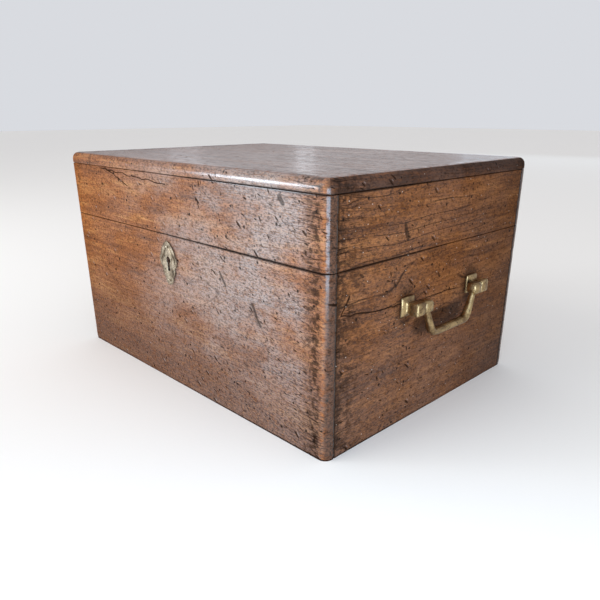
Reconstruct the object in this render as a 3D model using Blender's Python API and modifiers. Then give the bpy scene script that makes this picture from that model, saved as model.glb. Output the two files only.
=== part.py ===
"""A walnut tea caddy: a locked case with a hinged lid, a bail handle on each end, and two tea canisters and a
mixing bowl inside. Lengths are in metres and +Z is up. The origin is the centre of the underside, the lock is on
the -Y side and the handles are on the X ends."""

import math

import bmesh
import bpy
from mathutils import Matrix, Vector

MM = 0.001

# Clearances
GAP = 0.3 * MM
LIFT_GAP = 1.2 * MM
LID_GAP = 0.5 * MM

# Case and lid boards
CASE_WIDTH = 336 * MM
CASE_DEPTH = 241 * MM
BASE_HEIGHT = 130 * MM
RIM_HEIGHT = 46 * MM
WALL = 8.5 * MM
CORNER_RADIUS = 6.5 * MM
TONGUE = 3 * MM
TOP_THICKNESS = 9.5 * MM
TOP_ROUNDING = 6 * MM
BOTTOM_THICKNESS = 7 * MM
BOTTOM_REBATE = 4 * MM
LINING_THICKNESS = 2 * MM

# Hinges
HINGE_OFFSET = 95 * MM
HINGE_LENGTH = 45 * MM
LEAF_THICKNESS = 1.5 * MM
LEAF_REACH = 7.2 * MM
KNUCKLE_RADIUS = 2.4 * MM
HINGE_PIN_RADIUS = 1.1 * MM
PIN_OVERHANG = 0.8 * MM
HINGE_SCREW_SPREAD = 15 * MM

# Screws
SCREW_HEAD_RADIUS = 2.0 * MM
SCREW_SHANK_RADIUS = 1.0 * MM
SCREW_LENGTH = 9 * MM
LOCK_SCREW_LENGTH = 5.8 * MM
SLOT_WIDTH = 0.5 * MM
SLOT_DEPTH = 0.5 * MM

# Lock, measured from the top edge of the case
LOCK_X = -7 * MM
LOCK_WIDTH = 52 * MM
LOCK_HEIGHT = 37 * MM
LOCK_PLATE = 1.6 * MM
WORKS_WIDTH = 45 * MM
WORKS_DROP = 34 * MM
WORKS_DEPTH = 3.6 * MM
WORKS_WALL = 1.4 * MM
CAP_THICKNESS = 0.9 * MM
LOCK_SCREW_SPREAD = 24 * MM
LINK_SCREW_SPREAD = 21 * MM
HOOK_SPREAD = 11 * MM
HOOK_WIDTH = 3 * MM
HOOK_DROP = 12 * MM
FOOT_LENGTH = 3 * MM
FOOT_HEIGHT = 3 * MM
HOOK_THICKNESS = 2 * MM
FINGER_HEIGHT = 3 * MM
BOLT_BAR = 3.5 * MM
SPRING_THICKNESS = 0.7 * MM
SPRING_RISE = 2 * MM

# Escutcheon and keyhole
ESCUTCHEON_BELOW_EDGE = 22.3 * MM
ESCUTCHEON_THICKNESS = 1.6 * MM
ESCUTCHEON_PIN_RISE = 13.0 * MM
ESCUTCHEON_PIN_DROP = 14.2 * MM
KEYHOLE_BELOW_EDGE = 20 * MM
KEYHOLE_RADIUS = 2.5 * MM
KEYHOLE_SLOT = 3.2 * MM
KEYHOLE_DROP = 9.2 * MM
PIN_HEAD_RADIUS = 1.3 * MM
PIN_HEAD_HEIGHT = 0.6 * MM
PIN_RADIUS = 0.7 * MM
ESCUTCHEON_HALF = (
    (0.0, 17.8), (2.6, 16.2), (4.6, 13.6), (7.2, 9.8), (9.8, 6.6), (11.8, 3.4), (12.0, -0.4), (10.8, -2.4),
    (8.4, -3.0), (7.6, -3.8), (8.2, -5.4), (7.6, -8.4), (5.6, -10.8), (4.2, -12.2), (4.6, -14.0), (3.4, -16.6),
    (0.0, -17.8),
)

# End handles
HANDLE_Y = 3 * MM
HANDLE_BELOW_EDGE = 36.7 * MM
POST_SPREAD = 42.5 * MM
PIVOT_REACH = 10 * MM
POST_HEAD = 4.8 * MM
POST_FLANGE = 7.15 * MM
POST_LENGTH = 14.2 * MM
POST_BEVEL = 0.5 * MM
SHANK_RADIUS = 2.3 * MM
NUT_RADIUS = 5 * MM
NUT_THICKNESS = 3 * MM
KNUCKLE_SIDE = 9 * MM
KNUCKLE_CHAMFER = 1.6 * MM
BAIL_PIN_RADIUS = 1.5 * MM
BAIL_PIN_REACH = 5 * MM
BAIL_ROD_RADIUS = 2.1 * MM
BAIL_DROP = 22.9 * MM
BAIL_GRIP_HALF = 23 * MM
BAIL_CORNER = 8 * MM
GRIP_BREADTH = 1.6

# Inside
PARTITION_X = 52 * MM
PARTITION_THICKNESS = 5 * MM
PARTITION_BELOW_EDGE = 21.7 * MM
PARTITION_GROOVE = 2 * MM
CANISTER_BELOW_EDGE = 26.7 * MM
CANISTER_WALL = 5 * MM
CANISTER_LID = 5 * MM
CANISTER_PLUG = 4 * MM
KNOB_RADIUS = 7 * MM
KNOB_HEIGHT = 13 * MM
KNOB_SPIGOT = 2.5 * MM
BOARD_THICKNESS = 6 * MM
BOARD_BELOW_EDGE = 26 * MM
LEDGE = 8 * MM
BOWL_RADIUS = 42.5 * MM
BOWL_WALL = 2.6 * MM
BOWL_FOOT_RADIUS = 17 * MM
BOWL_FLOOR_ROOM = 19 * MM
BOWL_LIP = 3.5 * MM

ROUND_SIDES = 20
SCREW_SIDES = 12
BOWL_SIDES = 32

# Places that follow from the sizes
HALF_WIDTH = CASE_WIDTH / 2
HALF_DEPTH = CASE_DEPTH / 2
INNER_X = HALF_WIDTH - WALL
INNER_Y = HALF_DEPTH - WALL
RIM_Z = BASE_HEIGHT + LID_GAP
TOP_Z = RIM_Z + RIM_HEIGHT + GAP
HINGE_Y = HALF_DEPTH + KNUCKLE_RADIUS + GAP
HINGE_Z = BASE_HEIGHT + LID_GAP / 2
PLATE_BACK = -INNER_Y - LOCK_PLATE
WORKS_BACK = PLATE_BACK - WORKS_DEPTH
CAP_BACK = WORKS_BACK - GAP - CAP_THICKNESS
FLOOR_Z = BOTTOM_THICKNESS + GAP
WORKS_MIDDLE = (PLATE_BACK + WORKS_BACK) / 2
ESCUTCHEON_Z = BASE_HEIGHT - ESCUTCHEON_BELOW_EDGE
KEYHOLE_Z = BASE_HEIGHT - KEYHOLE_BELOW_EDGE
HANDLE_Z = BASE_HEIGHT - HANDLE_BELOW_EDGE
BOARD_Z = BASE_HEIGHT - BOARD_BELOW_EDGE - BOARD_THICKNESS
BOWL_Z = BOARD_Z + BOARD_THICKNESS + GAP
BOWL_DEPTH = BOWL_Z - FLOOR_Z - BOWL_FLOOR_ROOM


def clear_scene():
    """Removes whatever objects the scene starts with."""
    for old in list(bpy.data.objects):
        bpy.data.objects.remove(old, do_unlink=True)


def new_collection(name):
    """A collection in the scene."""
    group = bpy.data.collections.new(name)
    bpy.context.scene.collection.children.link(group)
    return group


def finish(name, colour, roughness, metallic=0.0):
    """A Principled material."""
    material = bpy.data.materials.new(name)
    material.use_nodes = True
    shader = material.node_tree.nodes["Principled BSDF"]
    shader.inputs["Base Color"].default_value = (*colour, 1.0)
    shader.inputs["Roughness"].default_value = roughness
    shader.inputs["Metallic"].default_value = metallic
    return material


clear_scene()
PARTS = new_collection("tea_caddy")
CUTTERS = new_collection("cutters")
WALNUT = finish("walnut", (0.27, 0.13, 0.07), 0.35)
DARK_WALNUT = finish("dark_walnut", (0.16, 0.08, 0.045), 0.4)
PALE_WOOD = finish("pale_wood", (0.42, 0.27, 0.15), 0.55)
LINING = finish("lining", (0.16, 0.05, 0.05), 0.9)
BRASS = finish("brass", (0.45, 0.36, 0.18), 0.35, 1.0)
OLD_BRASS = finish("old_brass", (0.36, 0.32, 0.22), 0.5, 1.0)
STEEL = finish("steel", (0.3, 0.29, 0.28), 0.45, 1.0)
GLASS = finish("glass", (0.8, 0.86, 0.84), 0.05)


def add_object(name, mesh, material, place):
    """Puts a mesh in the caddy, or among the cutters when it has no material."""
    piece = bpy.data.objects.new(name, mesh)
    piece.matrix_world = place
    if material is None:
        CUTTERS.objects.link(piece)
        piece.hide_render = True
        piece.display_type = "WIRE"
    else:
        mesh.materials.append(material)
        PARTS.objects.link(piece)
    return piece


def to_mesh(name, shape):
    """Turns a bmesh into a mesh and frees it."""
    mesh = bpy.data.meshes.new(name)
    shape.to_mesh(mesh)
    shape.free()
    return mesh


def bake(piece):
    """Replaces a piece's mesh with what its modifiers make of it."""
    graph = bpy.context.evaluated_depsgraph_get()
    mesh = bpy.data.meshes.new_from_object(piece.evaluated_get(graph))
    piece.modifiers.clear()
    piece.data = mesh


def combine(piece, other, operation):
    """Adds a Boolean step to a piece."""
    step = piece.modifiers.new(other.name, "BOOLEAN")
    step.operation = operation
    step.object = other
    step.solver = "EXACT"


def cut(piece, *tools):
    """Cuts tools out of a piece."""
    for tool in tools:
        combine(piece, tool, "DIFFERENCE")


def join(piece, *others):
    """Joins helper solids to a piece."""
    for other in others:
        combine(piece, other, "UNION")


def chamfer(piece, width, angle=30.0, segments=1):
    """Bevels the sharp edges of a piece."""
    bevel = piece.modifiers.new("chamfer", "BEVEL")
    bevel.width = width
    bevel.segments = segments
    bevel.angle_limit = math.radians(angle)


def shade_round(mesh):
    """Shades a round piece smooth between its sharp edges."""
    mesh.shade_smooth()
    mesh.set_sharp_from_angle(angle=math.radians(35))


def box(name, low, high, material=None):
    """A block between two corners, with its origin at its centre."""
    low, high = Vector(low), Vector(high)
    shape = bmesh.new()
    bmesh.ops.create_cube(shape, size=1.0, matrix=Matrix.Diagonal((*(high - low), 1.0)))
    return add_object(name, to_mesh(name, shape), material, Matrix.Translation((low + high) / 2))


def along(start, end):
    """The placement whose Z axis runs from start towards end, at the point midway."""
    start, end = Vector(start), Vector(end)
    turn = (end - start).to_track_quat("Z", "Y").to_matrix().to_4x4()
    return Matrix.Translation((start + end) / 2) @ turn


def rod(name, start, end, radius, material=None, sides=ROUND_SIDES):
    """A round bar between two points."""
    length = (Vector(end) - Vector(start)).length
    shape = bmesh.new()
    bmesh.ops.create_cone(
        shape, cap_ends=True, segments=sides, radius1=radius, radius2=radius, depth=length
    )
    mesh = to_mesh(name, shape)
    shade_round(mesh)
    return add_object(name, mesh, material, along(start, end))


def turned(name, profile, place, material=None, steps=ROUND_SIDES):
    """Sweeps (radius, height) points, listed from the top down the outer side, round the place's Z axis."""
    mesh = bpy.data.meshes.new(name)
    points = [(radius, 0.0, height) for radius, height in profile]
    mesh.from_pydata(points, [(i, i + 1) for i in range(len(points) - 1)], [])
    piece = add_object(name, mesh, material, place)
    sweep = piece.modifiers.new("turn", "SCREW")
    sweep.steps = steps
    sweep.render_steps = steps
    sweep.use_merge_vertices = True
    sweep.merge_threshold = 0.00001
    bake(piece)
    if steps > 4:
        shade_round(piece.data)
    return piece


def plate(name, outline, thickness, place, material=None):
    """A flat outline of (x, y) points, given thickness either way along the place's Z axis."""
    curve = bpy.data.curves.new(name, "CURVE")
    curve.dimensions = "2D"
    curve.fill_mode = "BOTH"
    curve.extrude = thickness / 2
    spline = curve.splines.new("POLY")
    spline.points.add(len(outline) - 1)
    for point, (x, y) in zip(spline.points, outline):
        point.co = (x, y, 0.0, 1.0)
    spline.use_cyclic_u = True
    helper = bpy.data.objects.new(name, curve)
    CUTTERS.objects.link(helper)
    graph = bpy.context.evaluated_depsgraph_get()
    mesh = bpy.data.meshes.new_from_object(helper.evaluated_get(graph))
    bpy.data.objects.remove(helper)
    shape = bmesh.new()
    shape.from_mesh(mesh)
    bmesh.ops.remove_doubles(shape, verts=shape.verts, dist=0.000001)
    bmesh.ops.dissolve_limit(
        shape, angle_limit=math.radians(1), verts=shape.verts, edges=shape.edges
    )
    bmesh.ops.recalc_face_normals(shape, faces=shape.faces)
    shape.to_mesh(mesh)
    shape.free()
    return add_object(name, mesh, material, place)


def arc(centre, radius, start, end, steps):
    """Points on an arc, with its angles in degrees."""
    turns = (math.radians(start + (end - start) * i / steps) for i in range(steps + 1))
    return [(centre[0] + radius * math.cos(t), centre[1] + radius * math.sin(t)) for t in turns]


def facing(origin, x_axis, y_axis):
    """The placement with the given origin and X and Y axes."""
    x_axis, y_axis = Vector(x_axis), Vector(y_axis)
    turn = Matrix((x_axis, y_axis, x_axis.cross(y_axis))).transposed().to_4x4()
    return Matrix.Translation(Vector(origin)) @ turn


def upright(x, y, z):
    """The placement of an outline that stands in the XZ plane."""
    return facing((x, y, z), (1, 0, 0), (0, 0, 1))


def half_turn(z):
    """The placement at height z, turned half round."""
    return Matrix.Translation((0, 0, z)) @ Matrix.Rotation(math.pi, 4, "Z")


def long_board_outline():
    """The plan of a front board: rounded outer corners, and a groove near each end for the end boards' tongues."""
    outer = -HALF_DEPTH
    near = INNER_X - GAP
    far = INNER_X + TONGUE + GAP
    deep = -INNER_Y - TONGUE - GAP
    centre = (HALF_WIDTH - CORNER_RADIUS, outer + CORNER_RADIUS)
    side = arc(centre, CORNER_RADIUS, -90, 0, 5)
    side += [(HALF_WIDTH, -INNER_Y), (far, -INNER_Y), (far, deep), (near, deep), (near, -INNER_Y)]
    return side + [(-x, y) for x, y in reversed(side)]


def end_board_outline():
    """The plan of the +X end board, with a tongue at each end."""
    reach = INNER_Y - GAP
    inner = INNER_X + TONGUE
    side = [(HALF_WIDTH, reach), (inner, reach), (inner, reach + TONGUE), (INNER_X, reach + TONGUE)]
    return side + [(x, -y) for x, y in reversed(side)]


def wall_boards(prefix, low, high, material):
    """The four boards round the case or the lid, between two heights."""
    middle = (low + high) / 2
    ahead = Matrix.Translation((0, 0, middle))
    behind = half_turn(middle)
    front = plate(f"{prefix}_front", long_board_outline(), high - low, ahead, material)
    back = plate(f"{prefix}_back", long_board_outline(), high - low, behind, material)
    right = plate(f"{prefix}_right_end", end_board_outline(), high - low, ahead, material)
    left = plate(f"{prefix}_left_end", end_board_outline(), high - low, behind, material)
    return front, back, right, left


def keyhole_outline(grow=0.0):
    """A keyhole about the centre of its round head."""
    radius = KEYHOLE_RADIUS + grow
    half = KEYHOLE_SLOT / 2 + grow
    start = -math.degrees(math.acos(half / radius))
    head = arc((0.0, 0.0), radius, start, 180 - start, 12)
    foot = arc((0.0, half - KEYHOLE_DROP - grow), half, -180, 0, 6)
    return head + foot


def keyhole_cutter(name, y_low, y_high, grow=0.0):
    """A keyhole-shaped bar through the front, between two depths."""
    place = upright(LOCK_X, (y_low + y_high) / 2, KEYHOLE_Z)
    return plate(name, keyhole_outline(grow), y_high - y_low, place)


def screw_profile(length, grow=0.0):
    """The profile of a countersunk screw whose head's top is at height 0."""
    head = SCREW_HEAD_RADIUS + grow
    shank = SCREW_SHANK_RADIUS + grow
    cone = head - shank
    return [
        (0.0, grow),
        (head, grow),
        (shank, -cone),
        (shank, -length + shank - grow),
        (0.0, -length - grow),
    ]


def screw(name, head_point, direction, holders, length=SCREW_LENGTH):
    """A slotted countersunk screw, driven against a direction, and its holes in the pieces it passes through."""
    head_point = Vector(head_point)
    turn = Vector(direction).to_track_quat("Z", "Y").to_matrix().to_4x4()
    place = Matrix.Translation(head_point) @ turn
    piece = turned(name, screw_profile(length), place, STEEL, SCREW_SIDES)
    slot_end = Vector((2 * SCREW_HEAD_RADIUS, SLOT_WIDTH / 2, SLOT_DEPTH))
    slot = box(f"{name}_slot", -slot_end, slot_end)
    slot.matrix_world = place @ slot.matrix_world
    cut(piece, slot)
    hole = turned(f"{name}_hole", screw_profile(length, GAP), place, None, SCREW_SIDES)
    for holder in holders:
        cut(holder, hole)
    return piece


def base_case():
    """The case: four boards round a rebated bottom board."""
    front, back, right, left = wall_boards("base", 0.0, BASE_HEIGHT, WALNUT)
    reach_x = INNER_X + BOTTOM_REBATE
    reach_y = INNER_Y + BOTTOM_REBATE
    rebate = box(
        "bottom_rebate",
        (-reach_x, -reach_y, -BOTTOM_THICKNESS),
        (reach_x, reach_y, BOTTOM_THICKNESS + GAP),
    )
    for board in (front, back, right, left):
        cut(board, rebate)
    inset_x = reach_x - GAP
    inset_y = reach_y - GAP
    box("base_bottom", (-inset_x, -inset_y, 0.0), (inset_x, inset_y, BOTTOM_THICKNESS), DARK_WALNUT)
    return front, back, right, left


def lid_case():
    """The lid: four rails under a rounded top board, and the lining inside it."""
    front, back, _, _ = wall_boards("lid", RIM_Z, RIM_Z + RIM_HEIGHT, WALNUT)
    corners = ((1, 1), (-1, 1), (-1, -1), (1, -1))
    outline = []
    for index, (sx, sy) in enumerate(corners):
        centre = (sx * (HALF_WIDTH - CORNER_RADIUS), sy * (HALF_DEPTH - CORNER_RADIUS))
        outline += arc(centre, CORNER_RADIUS, 90 * index, 90 * index + 90, 5)
    place = Matrix.Translation((0, 0, TOP_Z + TOP_THICKNESS / 2))
    top = plate("lid_top", outline, TOP_THICKNESS, place, WALNUT)
    round_top_edge(top.data)
    inset_x = INNER_X - GAP
    inset_y = INNER_Y - GAP
    ceiling = TOP_Z - GAP
    box("lid_lining", (-inset_x, -inset_y, ceiling - LINING_THICKNESS), (inset_x, inset_y, ceiling), LINING)
    return front, back


def round_top_edge(mesh):
    """Rounds over the upper edge of the top board."""
    shape = bmesh.new()
    shape.from_mesh(mesh)
    height = max(vertex.co.z for vertex in shape.verts)
    rim = [edge for edge in shape.edges if all(height - v.co.z < GAP for v in edge.verts)]
    bmesh.ops.bevel(shape, geom=rim, offset=TOP_ROUNDING, segments=4, profile=0.5, affect="EDGES")
    shape.to_mesh(mesh)
    shape.free()


def hinge_leaf(name, centre_x, side, board):
    """One leaf of a butt hinge, let into a board. side is -1 for the leaf in the case and 1 for the lid's leaf."""
    half = HINGE_LENGTH / 2
    inner = HALF_DEPTH - LEAF_REACH
    face = HINGE_Z + side * LID_GAP / 2
    low, high = sorted((face, face + side * LEAF_THICKNESS))
    leaf = box(name, (centre_x - half, inner, low), (centre_x + half, HINGE_Y - GAP, high), BRASS)
    third = HINGE_LENGTH / 6
    spans = [(-third + GAP / 2, third - GAP / 2)]
    notches = [(-half * 2, -third - GAP / 2), (third + GAP / 2, half * 2)]
    if side < 0:
        spans = [(-half + GAP, -third - GAP / 2), (third + GAP / 2, half - GAP)]
        notches = [(-third - GAP / 2, third + GAP / 2)]
    edge = HINGE_Y - KNUCKLE_RADIUS - GAP
    for index, (start, end) in enumerate(notches):
        notch = box(
            f"{name}_notch_{index}",
            (centre_x + start, edge, HINGE_Z - 2 * KNUCKLE_RADIUS),
            (centre_x + end, HINGE_Y + KNUCKLE_RADIUS, HINGE_Z + 2 * KNUCKLE_RADIUS),
        )
        cut(leaf, notch)
    for index, (start, end) in enumerate(spans):
        ends = ((centre_x + start, HINGE_Y, HINGE_Z), (centre_x + end, HINGE_Y, HINGE_Z))
        join(leaf, rod(f"{name}_knuckle_{index}", *ends, KNUCKLE_RADIUS, sides=16))
    bore_ends = ((centre_x - 2 * half, HINGE_Y, HINGE_Z), (centre_x + 2 * half, HINGE_Y, HINGE_Z))
    bore = rod(f"{name}_bore", *bore_ends, HINGE_PIN_RADIUS + GAP, sides=16)
    cut(leaf, bore)
    wood_low, wood_high = sorted((HINGE_Z - side * LID_GAP, face + side * (LEAF_THICKNESS + GAP)))
    mortise = box(
        f"{name}_mortise",
        (centre_x - half - GAP, inner - GAP, wood_low),
        (centre_x + half + GAP, HALF_DEPTH + WALL, wood_high),
    )
    cut(board, mortise)
    for hand, offset in (("left", -HINGE_SCREW_SPREAD), ("right", HINGE_SCREW_SPREAD)):
        point = (centre_x + offset, HALF_DEPTH - LEAF_REACH / 2, face)
        screw(f"{name}_screw_{hand}", point, (0, 0, -side), (leaf, board))


def hinges(base_back, lid_back):
    """Two butt hinges, each of two leaves and a pin."""
    for hand, centre in (("left", -HINGE_OFFSET), ("right", HINGE_OFFSET)):
        hinge_leaf(f"{hand}_hinge_base_leaf", centre, -1, base_back)
        hinge_leaf(f"{hand}_hinge_lid_leaf", centre, 1, lid_back)
        reach = HINGE_LENGTH / 2 + PIN_OVERHANG
        ends = ((centre - reach, HINGE_Y, HINGE_Z), (centre + reach, HINGE_Y, HINGE_Z))
        rod(f"{hand}_hinge_pin", *ends, HINGE_PIN_RADIUS, STEEL, SCREW_SIDES)


def escutcheon(base_front):
    """The cast keyhole plate and its two pins."""
    right = [(x * MM, z * MM) for x, z in ESCUTCHEON_HALF]
    outline = right + [(-x, z) for x, z in reversed(right[1:-1])]
    back = -HALF_DEPTH - GAP
    face = back - ESCUTCHEON_THICKNESS
    middle = (back + face) / 2
    place = upright(LOCK_X, middle, ESCUTCHEON_Z)
    cast = plate("escutcheon", outline, ESCUTCHEON_THICKNESS, place, OLD_BRASS)
    cut(cast, keyhole_cutter("escutcheon_keyhole", face - WALL, back + WALL))
    cut(base_front, keyhole_cutter("front_keyhole", -HALF_DEPTH - WALL, -INNER_Y + WALL, GAP))
    heights = (("upper", ESCUTCHEON_PIN_RISE), ("lower", -ESCUTCHEON_PIN_DROP))
    tip = face - CAP_BACK + GAP
    for level, offset in heights:
        name = f"escutcheon_pin_{level}"
        head = face - GAP
        point = (LOCK_X, head, ESCUTCHEON_Z + offset)
        turn = Vector((0, -1, 0)).to_track_quat("Z", "Y").to_matrix().to_4x4()
        place = Matrix.Translation(point) @ turn
        profile = [
            (0.0, PIN_HEAD_HEIGHT),
            (PIN_HEAD_RADIUS * 0.7, PIN_HEAD_HEIGHT * 0.7),
            (PIN_HEAD_RADIUS, 0.0),
            (PIN_RADIUS, 0.0),
            (PIN_RADIUS, tip + PIN_RADIUS),
            (0.0, tip),
        ]
        turned(name, profile, place, OLD_BRASS, SCREW_SIDES)
        end = (LOCK_X, CAP_BACK, point[2])
        hole = rod(f"{name}_hole", point, end, PIN_RADIUS + GAP, sides=SCREW_SIDES)
        cut(cast, hole)
        cut(base_front, hole)


def lock_recesses(base_front):
    """The three steps of the lock's mortise in the front board."""
    half = LOCK_WIDTH / 2 + GAP
    works = WORKS_WIDTH / 2 + GAP
    over = BASE_HEIGHT + WALL
    inside = -INNER_Y + WALL
    low = BASE_HEIGHT - LOCK_HEIGHT - GAP
    recesses = (
        box("plate_recess", (LOCK_X - half, PLATE_BACK - GAP, low), (LOCK_X + half, inside, over)),
        box(
            "works_recess",
            (LOCK_X - works, CAP_BACK - GAP, BASE_HEIGHT - WORKS_DROP - GAP),
            (LOCK_X + works, inside, over),
        ),
        box(
            "selvedge_recess",
            (LOCK_X - half, CAP_BACK - GAP, BASE_HEIGHT - LOCK_PLATE - GAP),
            (LOCK_X + half, inside, over),
        ),
    )
    cut(base_front, *recesses)


def lock_plate(base_front):
    """The lock's back plate with its top flange, the walls of its works, slots for the hooks, and two screws."""
    half = LOCK_WIDTH / 2
    low = BASE_HEIGHT - LOCK_HEIGHT
    body = box("lock_plate", (LOCK_X - half, PLATE_BACK, low), (LOCK_X + half, -INNER_Y, BASE_HEIGHT), BRASS)
    works = WORKS_WIDTH / 2
    floor = BASE_HEIGHT - WORKS_DROP
    overlap = LOCK_PLATE / 2
    under = BASE_HEIGHT - LOCK_PLATE
    flange = box(
        "lock_flange",
        (LOCK_X - half, CAP_BACK, under),
        (LOCK_X + half, PLATE_BACK + overlap, BASE_HEIGHT),
    )
    block = box(
        "works_block",
        (LOCK_X - works, WORKS_BACK, floor),
        (LOCK_X + works, PLATE_BACK + overlap, under + overlap),
    )
    hollow = box(
        "works_hollow",
        (LOCK_X - works + WORKS_WALL, WORKS_BACK - WORKS_WALL, floor + WORKS_WALL),
        (LOCK_X + works - WORKS_WALL, PLATE_BACK, under),
    )
    cut(block, hollow)
    join(body, flange, block)
    for index, offset in enumerate((-HOOK_SPREAD, HOOK_SPREAD)):
        slot = box(
            f"hook_slot_{index}",
            (LOCK_X + offset - FOOT_LENGTH - LID_GAP, WORKS_BACK + GAP, under - overlap),
            (LOCK_X + offset + HOOK_WIDTH + LID_GAP, PLATE_BACK - GAP, BASE_HEIGHT + overlap),
        )
        cut(body, slot)
    height = low + SCREW_HEAD_RADIUS + LID_GAP
    for hand, offset in (("left", -LOCK_SCREW_SPREAD), ("right", LOCK_SCREW_SPREAD)):
        point = (LOCK_X + offset, -INNER_Y, (height + floor) / 2)
        screw(f"lock_screw_{hand}", point, (0, 1, 0), (body, base_front), LOCK_SCREW_LENGTH)


def lock_works():
    """The cap over the works, the sliding bolt with two fingers, and the spring below the bolt."""
    works = WORKS_WIDTH / 2
    under = BASE_HEIGHT - LOCK_PLATE
    cap = box(
        "lock_cap",
        (LOCK_X - works, CAP_BACK, BASE_HEIGHT - WORKS_DROP),
        (LOCK_X + works, WORKS_BACK - GAP, under - GAP),
        BRASS,
    )
    cut(cap, keyhole_cutter("cap_keyhole", CAP_BACK - WALL, WORKS_BACK + WORKS_DEPTH / 2))
    tip_high = -HOOK_DROP + FOOT_HEIGHT + LID_GAP + GAP + FINGER_HEIGHT
    tip_low = tip_high - FINGER_HEIGHT
    bar_high = -HOOK_DROP - FINGER_HEIGHT
    bar_low = bar_high - BOLT_BAR
    upright_left = -HOOK_SPREAD - FOOT_LENGTH - LID_GAP - 2 * FINGER_HEIGHT
    outline = [(upright_left, bar_low), (HOOK_SPREAD, bar_low), (HOOK_SPREAD, bar_high)]
    for hook in (HOOK_SPREAD, -HOOK_SPREAD):
        tip = hook - FOOT_LENGTH - LID_GAP
        stem = tip - FINGER_HEIGHT
        outline += [(stem, bar_high), (stem, tip_low), (tip, tip_low), (tip, tip_high)]
        outline += [(stem - FINGER_HEIGHT, tip_high)]
        if hook > 0:
            outline += [(stem - FINGER_HEIGHT, bar_high)]
    plate("lock_bolt", outline, HOOK_THICKNESS, upright(LOCK_X, WORKS_MIDDLE, BASE_HEIGHT), STEEL)
    top = bar_low - GAP
    span = HOOK_SPREAD
    crown = [(span * (1 - i / 4), top - SPRING_RISE * ((1 - i / 4) ** 2)) for i in range(9)]
    outline = crown + [(x, z - SPRING_THICKNESS) for x, z in reversed(crown)]
    plate("lock_spring", outline, HOOK_THICKNESS, upright(LOCK_X, WORKS_MIDDLE, BASE_HEIGHT), STEEL)


def link_plate(lid_front):
    """The plate under the lid's front rail, with two hooks that drop into the lock, and its screws."""
    half = LOCK_WIDTH / 2
    high = RIM_Z + LOCK_PLATE
    body = box("lock_link_plate", (LOCK_X - half, CAP_BACK, RIM_Z), (LOCK_X + half, -INNER_Y - GAP, high), BRASS)
    for index, offset in enumerate((-HOOK_SPREAD, HOOK_SPREAD)):
        outline = [
            (offset + HOOK_WIDTH, -HOOK_DROP),
            (offset + HOOK_WIDTH, LID_GAP + LOCK_PLATE / 2),
            (offset, LID_GAP + LOCK_PLATE / 2),
            (offset, FOOT_HEIGHT - HOOK_DROP),
            (offset - FOOT_LENGTH, FOOT_HEIGHT - HOOK_DROP),
            (offset - FOOT_LENGTH, -HOOK_DROP),
        ]
        place = upright(LOCK_X, WORKS_MIDDLE, BASE_HEIGHT)
        join(body, plate(f"link_hook_{index}", outline, HOOK_THICKNESS, place))
    recess = box(
        "link_recess",
        (LOCK_X - half - GAP, CAP_BACK - GAP, RIM_Z - WALL),
        (LOCK_X + half + GAP, -INNER_Y + WALL, high + GAP),
    )
    cut(lid_front, recess)
    middle = (CAP_BACK - INNER_Y) / 2
    for hand, offset in (("left", -LINK_SCREW_SPREAD), ("right", LINK_SCREW_SPREAD)):
        point = (LOCK_X + offset, middle, RIM_Z)
        screw(f"link_screw_{hand}", point, (0, 0, -1), (body, lid_front))


def handle_post(name, side, y, inward, board):
    """A square cast post on an end board, with a blind bore for the bail's pin, and the nut behind it."""
    wall = side * HALF_WIDTH
    place = facing((wall, y, HANDLE_Z), (0, side, 0), (0, 0, 1)) @ Matrix.Rotation(math.pi / 4, 4, "Z")
    corner = math.sqrt(2)
    neck = POST_HEAD * 0.78
    sides = (
        (0.0, POST_LENGTH),
        (POST_HEAD * 0.74, POST_LENGTH),
        (POST_HEAD, POST_LENGTH - 1.3 * MM),
        (POST_HEAD, PIVOT_REACH - POST_HEAD * 0.6),
        (neck, PIVOT_REACH - POST_HEAD),
        (neck, 4.2 * MM),
        (POST_HEAD, 3.0 * MM),
        (POST_FLANGE * 0.9, 2.3 * MM),
        (POST_FLANGE, 1.6 * MM),
        (POST_FLANGE, GAP),
        (0.0, GAP),
    )
    post = turned(name, [(half * corner, height) for half, height in sides], place, BRASS, 4)
    chamfer(post, POST_BEVEL)
    nut_face = side * (INNER_X + GAP)
    nut_back = side * (INNER_X + GAP + NUT_THICKNESS)
    shank = rod(
        f"{name}_shank", (wall + side * PIVOT_REACH / 5, y, HANDLE_Z), (nut_face, y, HANDLE_Z), SHANK_RADIUS
    )
    join(post, shank)
    head_face = y + inward * POST_HEAD
    bore_end = (wall + side * PIVOT_REACH, head_face - inward * (BAIL_PIN_REACH + LID_GAP), HANDLE_Z)
    bore_start = (wall + side * PIVOT_REACH, head_face + inward * POST_HEAD, HANDLE_Z)
    cut(post, rod(f"{name}_bore", bore_start, bore_end, BAIL_PIN_RADIUS + GAP, sides=16))
    nut = rod(f"{name}_nut", (nut_face, y, HANDLE_Z), (nut_back, y, HANDLE_Z), NUT_RADIUS, STEEL, 6)
    clear = SHANK_RADIUS + GAP
    inside = side * (INNER_X - WALL)
    hole = rod(f"{name}_hole", (wall + side * WALL, y, HANDLE_Z), (inside, y, HANDLE_Z), clear)
    counterbore_start = (nut_back + side * GAP, y, HANDLE_Z)
    counterbore = rod(f"{name}_counterbore", counterbore_start, (inside, y, HANDLE_Z), NUT_RADIUS + GAP)
    cut(nut, hole)
    cut(board, hole, counterbore)


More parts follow.
